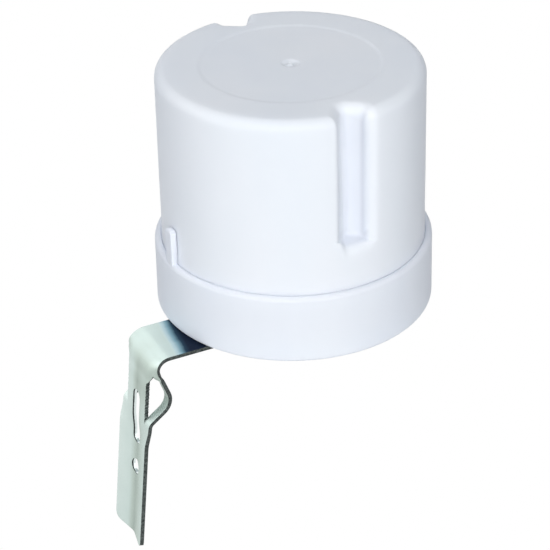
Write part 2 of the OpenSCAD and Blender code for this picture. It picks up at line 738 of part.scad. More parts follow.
// Barrel lying along x, with its leads bent down into the board
module axial(at, d, length, pitch) {
    z = board_top + stand + d / 2;
    translate([at.x, at.y, z]) rotate([0, 90, 0]) {
        translate([0, 0, -length / 2]) cylinder(d = d, h = length, $fn = 32);
        translate([0, 0, -pitch / 2]) cylinder(r = lead_r, h = pitch, $fn = 24);
    }
    leads(axial_pins(at, pitch), z + lead_d);
}

// Four diodes of the bridge rectifier
module rectifier_diodes() {
    color("black") on_body() for (at = diodes_at) axial(at, diode_d, diode_len, diode_pitch);
}

// Zener diode that sets the coil voltage
module zener_diode() {
    color("orangered") on_body() axial(zener_at, zener_d, zener_len, diode_pitch);
}

// Divider resistor
module resistors() {
    color("burlywood") on_body() for (at = resistors_at) axial(at, resistor_d, resistor_len, resistor_pitch);
}

// Fusible resistor in series with the film capacitor
module fusible_resistor() {
    color("slategray") on_body() axial(fuse_at, fuse_d, fuse_len, fuse_pitch);
}

// Transistor that drives the relay's coil, with its flat side outwards
module transistor() {
    flat = transistor_d * 0.3;
    color("black") on_body() {
        translate([transistor_at.x, transistor_at.y, board_top + stand]) difference() {
            cylinder(d = transistor_d, h = transistor_h, $fn = 48);
            translate([-transistor_d, -transistor_d - flat, -over])
                cube([2 * transistor_d, transistor_d, transistor_h + 2 * over]);
        }
        leads(transistor_pins, board_top + stand + over);
    }
}

// Photoresistor held up to the light on two long leads
module photoresistor() {
    flat = sensor_d * 0.4;
    color("orange") on_body() {
        translate([sensor_at.x, sensor_at.y, sensor_z - sensor_t]) intersection() {
            cylinder(d = sensor_d, h = sensor_t, $fn = 64);
            translate([-sensor_d, -flat, 0]) cube([2 * sensor_d, 2 * flat, sensor_t]);
        }
        leads(sensor_pins, sensor_z - sensor_t / 2);
    }
}

// Insulating sleeves on the photoresistor's leads
module lead_sleeves() {
    bore = lead_r + fit;
    color("ghostwhite") on_body() for (at = sensor_pins) translate([at.x, at.y, board_top]) difference() {
        cylinder(r = bore + sleeve_t, h = sensor_z - sensor_t - board_top, $fn = 24);
        translate([0, 0, -over]) cylinder(r = bore, h = sensor_z, $fn = 24);
    }
}

// Brass eyelets where the wires are soldered in
module wire_eyelets() {
    bore = eyelet_r - eyelet_t;
    color("goldenrod") on_body() for (at = eyelets_at) translate([at.x, at.y, board_z])
        rotate_extrude($fn = 32) polygon([[bore, -eyelet_t], [eyelet_flange_r, -eyelet_t],
            [eyelet_flange_r, 0], [eyelet_r, 0], [eyelet_r, board_t], [eyelet_flange_r, board_t],
            [eyelet_flange_r, board_t + eyelet_t], [bore, board_t + eyelet_t]]);
}

cap();
base();
cover_seal();
bracket();
bracket_screws();
lock_washers();
wire_grommet();
circuit_board();
board_screws();
relay();
film_capacitor();
smoothing_capacitor();
varistor();
rectifier_diodes();
zener_diode();
resistors();
fusible_resistor();
transistor();
ceramic_capacitor();
photoresistor();
lead_sleeves();
wire_eyelets();
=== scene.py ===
"""The looks of a dusk-to-dawn photocell switch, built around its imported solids.

The cap is laid out again as a fine skin with rolled edges and the bracket as a bent and lanced sheet, the
base is a refined copy of its solid, and every piece gets a finish of its own. Lengths in the tables are
millimetres, in the body's own frame: its axis is x = y = 0 and the underside of the base is z = 0.
"""

import math

import bmesh
import bpy
import numpy as np
from mathutils import Matrix, Vector


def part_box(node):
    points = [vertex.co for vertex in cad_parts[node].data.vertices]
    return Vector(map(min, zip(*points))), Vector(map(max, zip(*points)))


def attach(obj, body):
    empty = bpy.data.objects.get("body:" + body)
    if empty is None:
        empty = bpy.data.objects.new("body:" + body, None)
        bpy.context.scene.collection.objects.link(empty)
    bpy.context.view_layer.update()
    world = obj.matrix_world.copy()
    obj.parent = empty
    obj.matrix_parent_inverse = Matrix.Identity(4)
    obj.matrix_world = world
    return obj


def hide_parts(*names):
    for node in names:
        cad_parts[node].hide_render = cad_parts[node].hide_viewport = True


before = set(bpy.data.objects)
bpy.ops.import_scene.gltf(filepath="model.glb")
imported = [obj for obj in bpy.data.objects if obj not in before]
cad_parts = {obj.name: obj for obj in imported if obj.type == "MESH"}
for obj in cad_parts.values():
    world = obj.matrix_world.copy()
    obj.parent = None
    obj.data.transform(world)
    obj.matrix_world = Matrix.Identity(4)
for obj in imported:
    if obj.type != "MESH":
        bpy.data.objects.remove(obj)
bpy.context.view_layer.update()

MM = 0.001
PICTURE = 550
base_low, base_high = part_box("base")
body_axis = Vector(((base_low.x + base_high.x) / 2, (base_low.y + base_high.y) / 2, base_low.z))

# Sizes of the cap. Its skirt, with a snap bead, stands in the base, and it is snug at the rim's height
CAP_RADIUS = 32.99
CAP_FOOT = 6.5
CAP_TOP = 63.1
CAP_DRAFT = 0.2
CAP_WALL = 2.0
CAP_TURN = -33
TOP_ROUND = 2.6
TOP_ROUND_LEAST = 0.6
TOP_ROUND_ROWS = 10
RIM_HEIGHT = 17.7
RIM_SNUG = 0.1
SNUG_REACH = 5
BEAD_HEIGHT = 10.5
BEAD_OUT = 0.45
SKIRT_TOP = 24
SKIRT_HEIGHTS = (CAP_FOOT, 6.9, 8, 9.5, BEAD_HEIGHT, 11.5, 13, 15, 17, 18.5, 20, 21.5, 23, SKIRT_TOP)
WALL_SHARES = (0.04, 0.1, 0.2, 0.32, 0.45, 0.58, 0.7, 0.82, 0.92, 0.98)

# The panel sunk in its top: the panel's edge as (beyond its radius, share of its drop), the rings on it, and
# the dimple round the moulding gate as (radius, below the panel)
PANEL_RADIUS = 22.0
PANEL_DROP = 0.16
PANEL_EDGE = ((0.9, 0), (0.5, 0.05), (0.25, 0.25), (0, 0.5), (-0.25, 0.75), (-0.5, 0.95), (-0.9, 1))
PANEL_RINGS = (18, 14, 10, 6, 3.4, 2.5)
DIMPLE = ((2.25, 0.03), (1.9, 0.2), (1.5, 0.4), (1.2, 0.48), (0.85, 0.5), (0.66, 0.42), (0.6, 0.28),
          (0.45, 0.22), (0.2, 0.2))
# The roof inside has no panel. The top's faces fan in from its edge, led on by some degrees at the far side
# of a notch
ROOF_RINGS = (PANEL_RADIUS, 16, 10, 5, 1)
BRIM_SHARES = (0.25, 0.5, 0.75)
TOP_FAN_LEAD = 3.0

# Its two grip notches: a steep side, upright at the top, a floor, a crease, a leaning wall and a shoulder
NOTCH_SIDE = 14.0
NOTCH_DRAFT = 6
NOTCH_TOP_DRAFT = 0
NOTCH_FLOOR = 22.4
NOTCH_FAR_WALL = 19.0
NOTCH_FAR_LEAN = 40
EDGE_ROUND = 1.2
EDGE_LEAST = 0.25
CORNER_ROUND = 1.2
CREASE_ROUND = 1.6
CREASE_SHARE = 0.95
SHOULDER_ROUND = 2.4
SHOULDER_LEAST = 0.1
# Points on the forms that follow each other along half of the cap's outline
EDGE_POINTS = 8
SIDE_POINTS = 7
CORNER_POINTS = 7
FLOOR_POINTS = 7
CREASE_POINTS = 9
FAR_WALL_POINTS = 3
SHOULDER_POINTS = 15
WALL_POINTS = 82
# The ledge at their foot falls outwards to a rolled lip, and is lifted where it runs out beside the steep
# side. Its roundings take at most a share of its width, and its rows start and end beyond it on the wall
NOTCH_LEDGE = 29.2
NOTCH_FALL = 7
LIP_ROUND = 3.2
LIP_LIFT = 2.2
LIFT_REACH = 5.0
LIP_POINTS = 7
LEDGE_POINTS = 4
ROUND_SHARE = 0.45
LEDGE_ROWS_BELOW = 0.8
LEDGE_ROWS_ABOVE = 1.6

# The inner edge of the base's rim is drawn in towards the cap
RIM_INNER = 33.24
RIM_INNER_WIDTH = 0.5
RIM_INNER_SLACK = 0.02
RIM_CLOSE = 0.12
RIM_CLOSE_DEPTH = 1

# Sizes of the bracket's strip. Its path starts at the flange's tail: heading 0 runs outwards, 90 runs down
SHEET = 1.0
EDGE_BREAK = 0.12
STRIP_WIDTH = 16.0
STRIP_OFF = 6.9
STRIP_CORNER = 2.0
FLANGE_TAIL = 6.0
FLANGE_REACH = 41.3
BEND_RADIUS = 5.0
LEG_TURN = 84.1
LEG_LENGTH = 50.2
HOLE_DOWN = 30.3
HOLE_RADIUS = 2.1
SLOT_DOWN = 7.4
SLOT_LENGTH = 15.9
SLOT_RADIUS = 2.0
TROUGH_IN = 0.85
TROUGH_OUT = 0.75
TROUGH_RUN = 6.0
TROUGH_SOFT = 0.8
SCREWS_AT = (-22.0, -2.0)
SCREW_HOLE_RADIUS = 2.15
SCREW_HOLE_POINTS = 32
HOLE_POINTS = 48
SLOT_END_POINTS = 24
PUNCH_REACH = 3 * SHEET
# Rows of points down the strip: over its rounded ends, along the flange to the bend, on to the loops' foot,
# to the end of the trough's run and down the leg
END_RUN = 3
END_ROWS = 5
FLANGE_FROM = 9
FLANGE_ROWS = 8
LOOP_ROWS = 71
TROUGH_ROWS = 13
LEG_ROWS = 9
PATH_STEP = 0.01
# The strap loops: their outer edge is drawn in from the bend, and the lance cuts slantwise from near that
# edge to the neck, between two shares of the loop's length, and then straight down. Its torn edge wanders
# from row to row
LOOP_WIDTH = 2.6
LOOP_DOWN = 14.4
LOOP_FOOT_RADIUS = 2.0
LANCE_TOP = 0.27
LANCE_NECK = 0.42
LANCE_EDGE = 0.65
LANCE_OPEN = 0.05
LANCE_TEAR = 0.35
TEAR_STEP = 0.618
TEAR_LEAN = 0.7
DRAWN_SHARE = 0.5
# Each loop by its side: heading where it parts from the bend, upper and lower slope, radius at top and crown
LOOPS = {-1: (14, 20, 54, 2.8, 4.5), 1: (40, 26, 48, 2.0, 4.0)}

# How close points lie that are joined: in the cap's skins, in a copied solid and in the punched sheet
SKIN_JOIN = 0.00002
SOLID_JOIN = 0.0005
SHEET_JOIN = 0.002
# Degrees within which a copied solid's triangles are joined, and past which edges stay sharp
FLAT_WITHIN = 0.6
SHARP_MOULDING = 38
SHARP_SHEET = 40
NORMAL_WEIGHT = 60
# Finishes of the bracket, by their place in its list
SHEARED, PUNCHED = 1, 2

# Where the photograph was taken from, and where the body's middle lies in it
CAMERA_AT = (-196.06, -396.76, 267.12)
AIM_AT = (0, 0, 30)
AIM_PIXEL = (292.4, 183.9)
LENS = 132.1
SENSOR = 36
ROLL = 1.135

# Soft lamps by azimuth and height in degrees, distance and size in metres, and watts; the floor's half width
# and its drop below the bracket, in metres
LAMPS = {
    "key": (-18, 26, 0.9, 1.3, 10.3),
    "top": (178, 62, 1.0, 0.8, 1.85),
    "fill": (-110, 25, 1.0, 0.8, 2.6),
}
FLOOR_HALF = 6.0
FLOOR_DROP = 0.35


def linear(code):
    """Linear colour of an sRGB hex value."""
    parts = [int(code[i : i + 2], 16) / 255 for i in (1, 3, 5)]
    return (*[c / 12.92 if c <= 0.04045 else ((c + 0.055) / 1.055) ** 2.4 for c in parts], 1)


def add(tree, kind, inputs=None, stops=None, **settings):
    """Adds a node with its settings, its values and its links. Stops are a ramp's (place, colour) pairs."""
    made = tree.nodes.new(kind)
    for name, value in settings.items():
        setattr(made, name, value)
    for socket, value in (inputs or {}).items():
        if isinstance(value, bpy.types.NodeSocket):
            tree.links.new(value, made.inputs[socket])
        else:
            made.inputs[socket].default_value = value
    for i, (place, colour) in enumerate(stops or []):
        ramp = made.color_ramp.elements
        step = ramp[i] if i < 2 else ramp.new(place)
        step.position = place
        step.color = colour
    return made


def new_material(name):
    """An empty material and its tree."""
    made = bpy.data.materials.new(name)
    made.use_nodes = True
    made.node_tree.nodes.clear()
    return made, made.node_tree


def grey(value):
    """A ramp colour that carries a plain number."""
    return (value, value, value, 1)


def milky_plastic(name, pale, deep, painted_notch_shade, roughness):
    """Milky injection-moulded polypropylene: light sinks in a little, faint flow marks, a fine satin skin."""
    made, tree = new_material(name)
    place = add(tree, "ShaderNodeTexCoord").outputs["Object"]
    # Flow marks are long soft clouds, about 30 mm wide and drawn out along the mould's opening
    drawn = add(tree, "ShaderNodeMapping", {"Vector": place, "Scale": (1, 1, 0.35)}).outputs["Vector"]
    flow = add(tree, "ShaderNodeTexNoise", {"Vector": drawn, "Scale": 34, "Detail": 3, "Roughness": 0.5})
    tint = add(tree, "ShaderNodeValToRGB", {"Fac": flow.outputs["Fac"]}, [
        (0.3, linear(deep)), (0.7, linear(pale))])
    # Painted shade in the grip notches: a shade deeper on their floor, more towards their
    # crease, and on their ledge. The cap's own turn puts the notches across its y axis
    centred = add(
        tree, "ShaderNodeVectorMath", {0: place, 1: body_axis}, operation="SUBTRACT").outputs["Vector"]
    turned = add(tree, "ShaderNodeMapping", {"Vector": centred, "Rotation": (0, 0, -math.radians(CAP_TURN))})
    aside = add(tree, "ShaderNodeVectorMath", {0: turned.outputs["Vector"]}, operation="ABSOLUTE")
    spot = add(tree, "ShaderNodeSeparateXYZ", {"Vector": aside.outputs["Vector"]}).outputs
    flat = add(tree, "ShaderNodeVectorMath", {0: centred, 1: (1, 1, 0)}, operation="MULTIPLY")
    radius = add(tree, "ShaderNodeVectorMath", {0: flat.outputs["Vector"]}, operation="LENGTH")
    plain = None
    for value, low, high, joined in (
            (spot["Y"], NOTCH_FLOOR + 0.3, NOTCH_FLOOR + 1.3, None),
            (spot["Z"], NOTCH_LEDGE + 0.5, NOTCH_LEDGE + 2.5, "MINIMUM"),
            (radius.outputs["Value"], CAP_RADIUS - 2.5, CAP_RADIUS - 1, "MAXIMUM"),
            (spot["X"], NOTCH_FAR_WALL, NOTCH_SIDE - 2, "MAXIMUM"),
            (spot["Z"], CAP_TOP - 4, CAP_TOP - 1, "MAXIMUM")):
        share = add(tree, "ShaderNodeMapRange", {"Value": value, "From Min": low * MM, "From Max": high * MM})
        plain = share if plain is None else add(
            tree, "ShaderNodeMath", {0: plain.outputs[0], 1: share.outputs["Result"]}, operation=joined)
    tint = add(tree, "ShaderNodeMix", {
        "Factor": plain.outputs[0], 6: linear(painted_notch_shade), 7: tint.outputs["Color"]}, data_type="RGBA")
    # Satin skin left by a fine-spark mould, 0.4 mm grain
    skin = add(tree, "ShaderNodeTexNoise", {"Vector": place, "Scale": 2500, "Detail": 2, "Roughness": 0.6})
    low, high = grey(roughness - 0.05), grey(roughness + 0.07)
    gloss = add(tree, "ShaderNodeValToRGB", {"Fac": skin.outputs["Fac"]}, [(0.35, low), (0.65, high)])
    relief = add(tree, "ShaderNodeBump", {
        "Height": skin.outputs["Fac"], "Strength": 0.06, "Distance": 0.0001})
    surface = add(tree, "ShaderNodeBsdfPrincipled", {
        "Base Color": tint.outputs[2], "Roughness": gloss.outputs["Color"],
        "Normal": relief.outputs["Normal"], "IOR": 1.49, "Specular IOR Level": 0.13,
        "Subsurface Weight": 0.6, "Subsurface Radius": (1.0, 1.0, 1.0), "Subsurface Scale": 0.002})
    add(tree, "ShaderNodeOutputMaterial", {"Surface": surface.outputs["BSDF"]})
    return made


def zinc_sheet(name):
    """Bright galvanised strip steel: pale green-grey zinc, faint rolling streaks and broad soft crystals.

    Its colour carries painted shade down the bend and the leg and, where the flange goes under the base, a
    painted dark blue reflection and shade on the zinc of its upper face.
    """
    made, tree = new_material(name)
    place = add(tree, "ShaderNodeTexCoord").outputs["Object"]
    # Crystals of the zinc, about 5 mm across
    crystal = add(tree, "ShaderNodeTexVoronoi", {"Vector": place, "Scale": 190, "Randomness": 1},
                  feature="SMOOTH_F1")
    cloud = add(tree, "ShaderNodeTexNoise", {"Vector": place, "Scale": 120, "Detail": 4, "Roughness": 0.6})
    # Rolling streaks run along the strip, 1.2 mm apart across its width
    along = add(tree, "ShaderNodeMapping", {"Vector": place, "Scale": (0.05, 1, 0.05)}).outputs["Vector"]
    streak = add(tree, "ShaderNodeTexNoise", {"Vector": along, "Scale": 830, "Detail": 3, "Roughness": 0.6})
    stain = add(tree, "ShaderNodeMix", {0: 0.5, 2: crystal.outputs["Distance"], 3: cloud.outputs["Fac"]})
    tone = add(tree, "ShaderNodeMix", {0: 0.3, 2: stain.outputs[0], 3: streak.outputs["Fac"]})
    # Painted shade: the zinc is drawn darker from 1 mm below the base's underside to just past the leg's tip,
    # most along the crease and on the strip's near half
    reach = add(tree, "ShaderNodeSeparateXYZ", {"Vector": place})
    drop = add(tree, "ShaderNodeMapRange", {
        "Value": reach.outputs["Z"], "From Min": body_axis.z - 1 * MM, "From Max": body_axis.z - 58 * MM})
    fade = add(tree, "ShaderNodeValToRGB", {"Fac": drop.outputs["Result"]}, [
        (0.0, grey(0)), (1.0, grey(1)), (0.03, grey(0.15)), (0.075, grey(0.65)), (0.15, grey(1)),
        (0.25, grey(0.8))])
    even = add(tree, "ShaderNodeValToRGB", {"Fac": drop.outputs["Result"]}, [
        (0.0, grey(0.48)), (1.0, grey(0.13)), (0.03, grey(0.62)), (0.1, grey(0.13))])
    across = add(tree, "ShaderNodeMapRange", {
        "Value": reach.outputs["Y"], "From Min": -STRIP_WIDTH / 2 * MM, "From Max": STRIP_WIDTH / 2 * MM})
    crease = add(tree, "ShaderNodeValToRGB", {"Fac": across.outputs["Result"]}, [
        (0.0, grey(0.42)), (1.0, grey(0.2)), (0.3, grey(0.62)), (0.5, grey(0.95)), (0.68, grey(0.34))])
    painted_shade = add(tree, "ShaderNodeMath", {0: fade.outputs["Color"], 1: crease.outputs["Color"]},
               operation="MULTIPLY")
    # Painted shade beside the near lance, on the bend and the top of the neck, dims a highlight there
    beside = add(tree, "ShaderNodeMapRange", {
        "Value": reach.outputs["Y"], "From Min": 0, "From Max": -STRIP_WIDTH / 2 * MM, "To Max": 0.3})
    painted_glare_shade = add(tree, "ShaderNodeValToRGB", {"Fac": drop.outputs["Result"]}, [
        (0.0, grey(0)), (0.267, grey(0)), (0.03, grey(0.6)), (0.074, grey(1)), (0.17, grey(1))])
    painted_shade = add(tree, "ShaderNodeMath", {
        0: beside.outputs["Result"], 1: painted_glare_shade.outputs["Color"],
        2: painted_shade.outputs[0]}, operation="MULTIPLY_ADD")
    tone_and_shade = add(tree, "ShaderNodeMath", {0: tone.outputs[0], 1: -0.35, 2: painted_shade.outputs[0]},
               operation="MULTIPLY_ADD")
    tone_and_shade = add(tree, "ShaderNodeMath", {0: tone_and_shade.outputs[0], 1: even.outputs["Color"]}, operation="ADD")
    zinc = add(tree, "ShaderNodeValToRGB", {"Fac": tone_and_shade.outputs[0]}, [
        (0.0, linear("#d9e3e0")), (1.0, linear("#909d96")), (0.3, linear("#c8d6d2")),
        (0.6, linear("#b8c5be")), (0.85, linear("#a9b6af"))])
    # Painted dark blue reflection and shade, deepening from the bend towards the base: clear 38.4 mm from the
    # body's axis, darkest at 34 mm. It fades on the sheet's edge, 0.3 to 0.8 mm below the upper face
    height = add(tree, "ShaderNodeMapRange", {
        "Value": reach.outputs["Z"], "From Min": body_axis.z - 0.8 * MM, "From Max": body_axis.z - 0.3 * MM})
    ripple = add(tree, "ShaderNodeMath", {0: cloud.outputs["Fac"], 1: 1.6 * MM, 2: reach.outputs["X"]},
                 operation="MULTIPLY_ADD")
    slant = add(tree, "ShaderNodeMath", {0: reach.outputs["Y"], 1: -0.13, 2: ripple.outputs[0]},
                operation="MULTIPLY_ADD")
    depth = add(tree, "ShaderNodeMapRange", {
        "Value": slant.outputs[0], "From Min": body_axis.x - 38.4 * MM, "From Max": body_axis.x - 34.0 * MM})
    painted_reflection = add(tree, "ShaderNodeValToRGB", {"Fac": depth.outputs["Result"]}, [
        (0.0, linear("#d3dfdc")), (1.0, linear("#16243a")), (0.28, linear("#b7cdd2")),
        (0.5, linear("#7fa3b0")), (0.74, linear("#2a4356"))])
    under = add(tree, "ShaderNodeMath", {0: height.outputs["Result"], 1: depth.outputs["Result"]},
                operation="MULTIPLY", use_clamp=True)
    share = add(tree, "ShaderNodeValToRGB", {"Fac": under.outputs[0]}, [(0.0, grey(0)), (0.2, grey(1))])
    colour = add(tree, "ShaderNodeMix", {
        "Factor": share.outputs["Color"], 6: zinc.outputs["Color"],
        7: painted_reflection.outputs["Color"]}, data_type="RGBA")
    gloss = add(tree, "ShaderNodeValToRGB", {"Fac": tone.outputs[0]}, [(0.2, grey(0.46)), (0.7, grey(0.58))])
    relief = add(tree, "ShaderNodeBump", {"Height": tone.outputs[0], "Strength": 0.06, "Distance": 0.0002})
    surface = add(tree, "ShaderNodeBsdfPrincipled", {
        "Base Color": colour.outputs[2], "Roughness": gloss.outputs["Color"],
        "Normal": relief.outputs["Normal"], "Metallic": 1.0})
    add(tree, "ShaderNodeOutputMaterial", {"Surface": surface.outputs["BSDF"]})
    return made


def sheared_steel(name):
    """Bare edge left by the shear: dark torn steel, with 0.5 mm ridges across the sheet's thickness."""
    made, tree = new_material(name)
    place = add(tree, "ShaderNodeTexCoord").outputs["Object"]
    torn = add(tree, "ShaderNodeMapping", {"Vector": place, "Scale": (1, 0.4, 1)}).outputs["Vector"]
    ridge = add(tree, "ShaderNodeTexNoise", {"Vector": torn, "Scale": 1500, "Detail": 4, "Roughness": 0.7})
    colour = add(tree, "ShaderNodeValToRGB", {"Fac": ridge.outputs["Fac"]}, [
        (0.32, linear("#262b2b")), (0.68, linear("#5f6664"))])
    gloss = add(tree, "ShaderNodeValToRGB", {"Fac": ridge.outputs["Fac"]}, [
        (0.3, grey(0.65)), (0.7, grey(0.42))])
    relief = add(tree, "ShaderNodeBump", {
        "Height": ridge.outputs["Fac"], "Strength": 0.6, "Distance": 0.0003})
    surface = add(tree, "ShaderNodeBsdfPrincipled", {
        "Base Color": colour.outputs["Color"], "Roughness": gloss.outputs["Color"],
        "Normal": relief.outputs["Normal"], "Metallic": 0.9})
    add(tree, "ShaderNodeOutputMaterial", {"Surface": surface.outputs["BSDF"]})
    return made


def punched_wall(name):
    """A punched hole's wall: a painted shadow of 0.4 mm, ragged, on the wall side, then metal the punch
    burnished.
    """
    made, tree = new_material(name)
    place = add(tree, "ShaderNodeTexCoord").outputs["Object"]
    # Depth below the leg's outer face, which the trough sets back beside the holes
    set_back = 0.55
    turn = math.radians(90 - LEG_TURN)
    neck, _, leg_start = neck_path()
    x, z = point_on(neck, leg_start)
    start = to_row_frame([(x, -STRIP_OFF, z)])[0]
    leg = add(tree, "ShaderNodeVectorMath", {0: place, 1: start}, operation="SUBTRACT")
    depth = add(tree, "ShaderNodeVectorMath", {
        0: leg.outputs["Vector"], 1: (math.cos(turn), 0, -math.sin(turn))}, operation="DOT_PRODUCT")
    down = add(tree, "ShaderNodeSeparateXYZ", {"Vector": leg.outputs["Vector"]})
    pressed = add(tree, "ShaderNodeMapRange", {
        "Value": down.outputs["Z"], "From Min": -LOOP_DOWN * MM, "From Max": -(LOOP_DOWN + TROUGH_RUN) * MM,
        "To Min": SHEET / 2 * MM, "To Max": (SHEET / 2 - set_back) * MM}, interpolation_type="SMOOTHSTEP")
    below = add(tree, "ShaderNodeMath", {0: depth.outputs["Value"], 1: pressed.outputs["Result"]},
                operation="ADD")
    # Painted shadow along the wall side's edge, its border made ragged by 0.2 mm
    ragged = add(tree, "ShaderNodeTexNoise", {"Vector": place, "Scale": 1200, "Detail": 3})
    torn = add(tree, "ShaderNodeMath", {0: ragged.outputs["Fac"], 1: 0.2 * MM, 2: below.outputs[0]},
               operation="MULTIPLY_ADD")
    rim = add(tree, "ShaderNodeMapRange", {
        "Value": torn.outputs[0], "From Min": 0.4 * MM, "From Max": 0.6 * MM})
    colour = add(tree, "ShaderNodeValToRGB", {"Fac": rim.outputs["Result"]}, [
        (0.0, linear("#2c3231")), (1.0, linear("#dfe8e6"))])
    gloss = add(tree, "ShaderNodeValToRGB", {"Fac": rim.outputs["Result"]}, [
        (0.0, grey(0.6)), (1.0, grey(0.3))])
    surface = add(tree, "ShaderNodeBsdfPrincipled", {
        "Base Color": colour.outputs["Color"], "Roughness": gloss.outputs["Color"], "Metallic": 1.0})
    add(tree, "ShaderNodeOutputMaterial", {"Surface": surface.outputs["BSDF"]})
    return made


def plain_finish(name, pale, deep, grain, roughness, metal=0.0, relief_depth=0.05, drawn=(1, 1, 1), coat=0.0):
    """A moulded, lacquered or plated finish: two close tones in a grain of that size, gloss and relief."""
    made, tree = new_material(name)
    place = add(tree, "ShaderNodeTexCoord").outputs["Object"]
    stretched = add(tree, "ShaderNodeMapping", {"Vector": place, "Scale": drawn}).outputs["Vector"]
    speck = add(tree, "ShaderNodeTexNoise", {
        "Vector": stretched, "Scale": 1 / (grain * MM), "Detail": 3, "Roughness": 0.6})
    colour = add(tree, "ShaderNodeValToRGB", {"Fac": speck.outputs["Fac"]}, [
        (0.3, linear(deep)), (0.7, linear(pale))])
    low, high = grey(max(roughness - 0.08, 0.02)), grey(roughness + 0.1)
    gloss = add(tree, "ShaderNodeValToRGB", {"Fac": speck.outputs["Fac"]}, [(0.3, low), (0.7, high)])
    relief = add(tree, "ShaderNodeBump", {
        "Height": speck.outputs["Fac"], "Strength": relief_depth, "Distance": grain * MM * 0.2})
    surface = add(tree, "ShaderNodeBsdfPrincipled", {
        "Base Color": colour.outputs["Color"], "Roughness": gloss.outputs["Color"],
        "Normal": relief.outputs["Normal"], "Metallic": metal, "Coat Weight": coat})
    add(tree, "ShaderNodeOutputMaterial", {"Surface": surface.outputs["BSDF"]})
    return made


def curve_points(centre, radius, start, end, count):
    """Points on an arc about a centre, angles in degrees, both ends included."""
    turn = np.radians(np.linspace(start, end, count))
    return np.asarray(centre) + radius * np.column_stack((np.cos(turn), np.sin(turn)))


def circle_points(centre, radius, count):
    """Points on a whole circle."""
    return curve_points(centre, radius, 0, 360 - 360 / count, count)


def between(first, last, count):
    """Points between two others, without the two."""
    share = np.linspace(0, 1, count + 2)[1:-1, None]
    return np.asarray(first) * (1 - share) + np.asarray(last) * share


def notch_half(radius, inset, side_lean=NOTCH_DRAFT):
    """Half of the cap's outline in plan, from the front notch round to the back one, drawn in by inset.

    Returns its points, the count of those that belong to the notch, and the angles of the notch's two ends.
    """
    ring = radius - inset
    floor = NOTCH_FLOOR - inset
    draft = math.radians(side_lean)
    inwards = np.array((math.sin(draft), math.cos(draft)))
    aside = np.array((-math.cos(draft), math.sin(draft)))
    lean = math.radians(NOTCH_FAR_LEAN)
    out = np.array((math.sin(lean), -math.cos(lean)))
    away = np.array((math.cos(lean), math.sin(lean)))
    # Rounded edge where the cap's wall turns into the steep side, and the corner at that side's foot
    edge = max(EDGE_ROUND - inset, EDGE_LEAST)
    brink = np.array((NOTCH_SIDE, -math.sqrt(CAP_RADIUS**2 - NOTCH_SIDE**2)))
    start = brink + (inset + edge) * aside
    along = start @ inwards
    edge_at = start - inwards * (along + math.sqrt(along**2 - start @ start + (ring - edge) ** 2))
    first = math.degrees(math.atan2(edge_at[1], edge_at[0]))
    edge_arc = curve_points(edge_at, edge, first, -side_lean, EDGE_POINTS)
    corner = CORNER_ROUND + inset
    wall_foot = brink + inset * aside
    wall_foot = wall_foot - inwards * (wall_foot[1] + floor) / math.cos(draft)
    run = corner * math.tan((math.pi / 2 - draft) / 2)
    corner_arc = curve_points(
        (wall_foot[0] + run, -floor - corner), corner, 180 - side_lean, 90, CORNER_POINTS)
    # Soft shoulder on the far side, and a crease that ends before the shoulder starts
    foot = np.array((NOTCH_FAR_WALL, -NOTCH_FLOOR)) + inset * away
    foot = foot + out * (foot[1] + floor) / math.cos(lean)
    soft = max(SHOULDER_ROUND - inset, SHOULDER_LEAST)
    start = foot + soft * away
    along = start @ out
    reach = -along + math.sqrt(along**2 - start @ start + (ring - soft) ** 2)
    soft_at = start + reach * out
    last = math.degrees(math.atan2(soft_at[1], soft_at[0]))
    soft_arc = curve_points(soft_at, soft, NOTCH_FAR_LEAN - 180, last, SHOULDER_POINTS)
    run_share = math.tan((math.pi / 2 - lean) / 2)
    run = min((CREASE_ROUND + inset) * run_share, CREASE_SHARE * reach)
    crease = run / run_share
    crease_arc = curve_points((foot[0] - run, -floor - crease), crease, 90, NOTCH_FAR_LEAN, CREASE_POINTS)
    notch = np.vstack((edge_arc, between(edge_arc[-1], corner_arc[0], SIDE_POINTS), corner_arc,
                       between(corner_arc[-1], crease_arc[0], FLOOR_POINTS), crease_arc,
                       between(crease_arc[-1], soft_arc[0], FAR_WALL_POINTS), soft_arc))
    wall = curve_points((0, 0), ring, last, first + 180, WALL_POINTS + 2)[1:-1]
    return np.vstack((notch, wall)), len(notch), (first, last)


def cap_outline(radius, inset, side_lean=NOTCH_DRAFT):
    """The cap's whole outline in plan, with a notch on both sides."""
    half = notch_half(radius, inset, side_lean)[0]
    return np.vstack((half, -half))


def ring_outline(radius, ends, notch_count):
    """A plain circle with the same count of points as the cap's outline."""
    first, last = ends
    notch = curve_points((0, 0), radius, first, last, notch_count)
    wall = curve_points((0, 0), radius, last, first + 180, WALL_POINTS + 2)[1:-1]
    half = np.vstack((notch, wall))
    return np.vstack((half, -half))


def rolled_path(outer, inner, ledge, lift):
    """Inward shares and heights of the ledge's section at one place: up the wall, over the lip, in and up.

    The ledge is lifted where it runs out to nothing.
    """
    width = np.linalg.norm(inner - outer)
    raised = lift * (1 - eased(width / LIFT_REACH))
    low, high = ledge(outer) + raised, ledge(inner) + raised
    lip = min(LIP_ROUND, ROUND_SHARE * width)
    corner = min(CORNER_ROUND, ROUND_SHARE * width)
    share = np.linspace(0, 1, LIP_POINTS)[:, None]

    def bend(a, b, c):
        return (1 - share) ** 2 * a + 2 * share * (1 - share) * b + share**2 * c

    slope = np.array((width, high - low))
    slope = slope / max(np.linalg.norm(slope), 1e-9)
    tip, root = np.array((0.0, low)), np.array((width, high))
    rolled = bend(tip - (0, LIP_ROUND), tip, tip + lip * slope)
    flat = between(rolled[-1], root - corner * slope, LEDGE_POINTS)
    filled = bend(root - corner * slope, root, root + (0, CORNER_ROUND))
    path = np.vstack((rolled, flat, filled))
    path[:, 0] /= max(width, 1e-6)
    return path


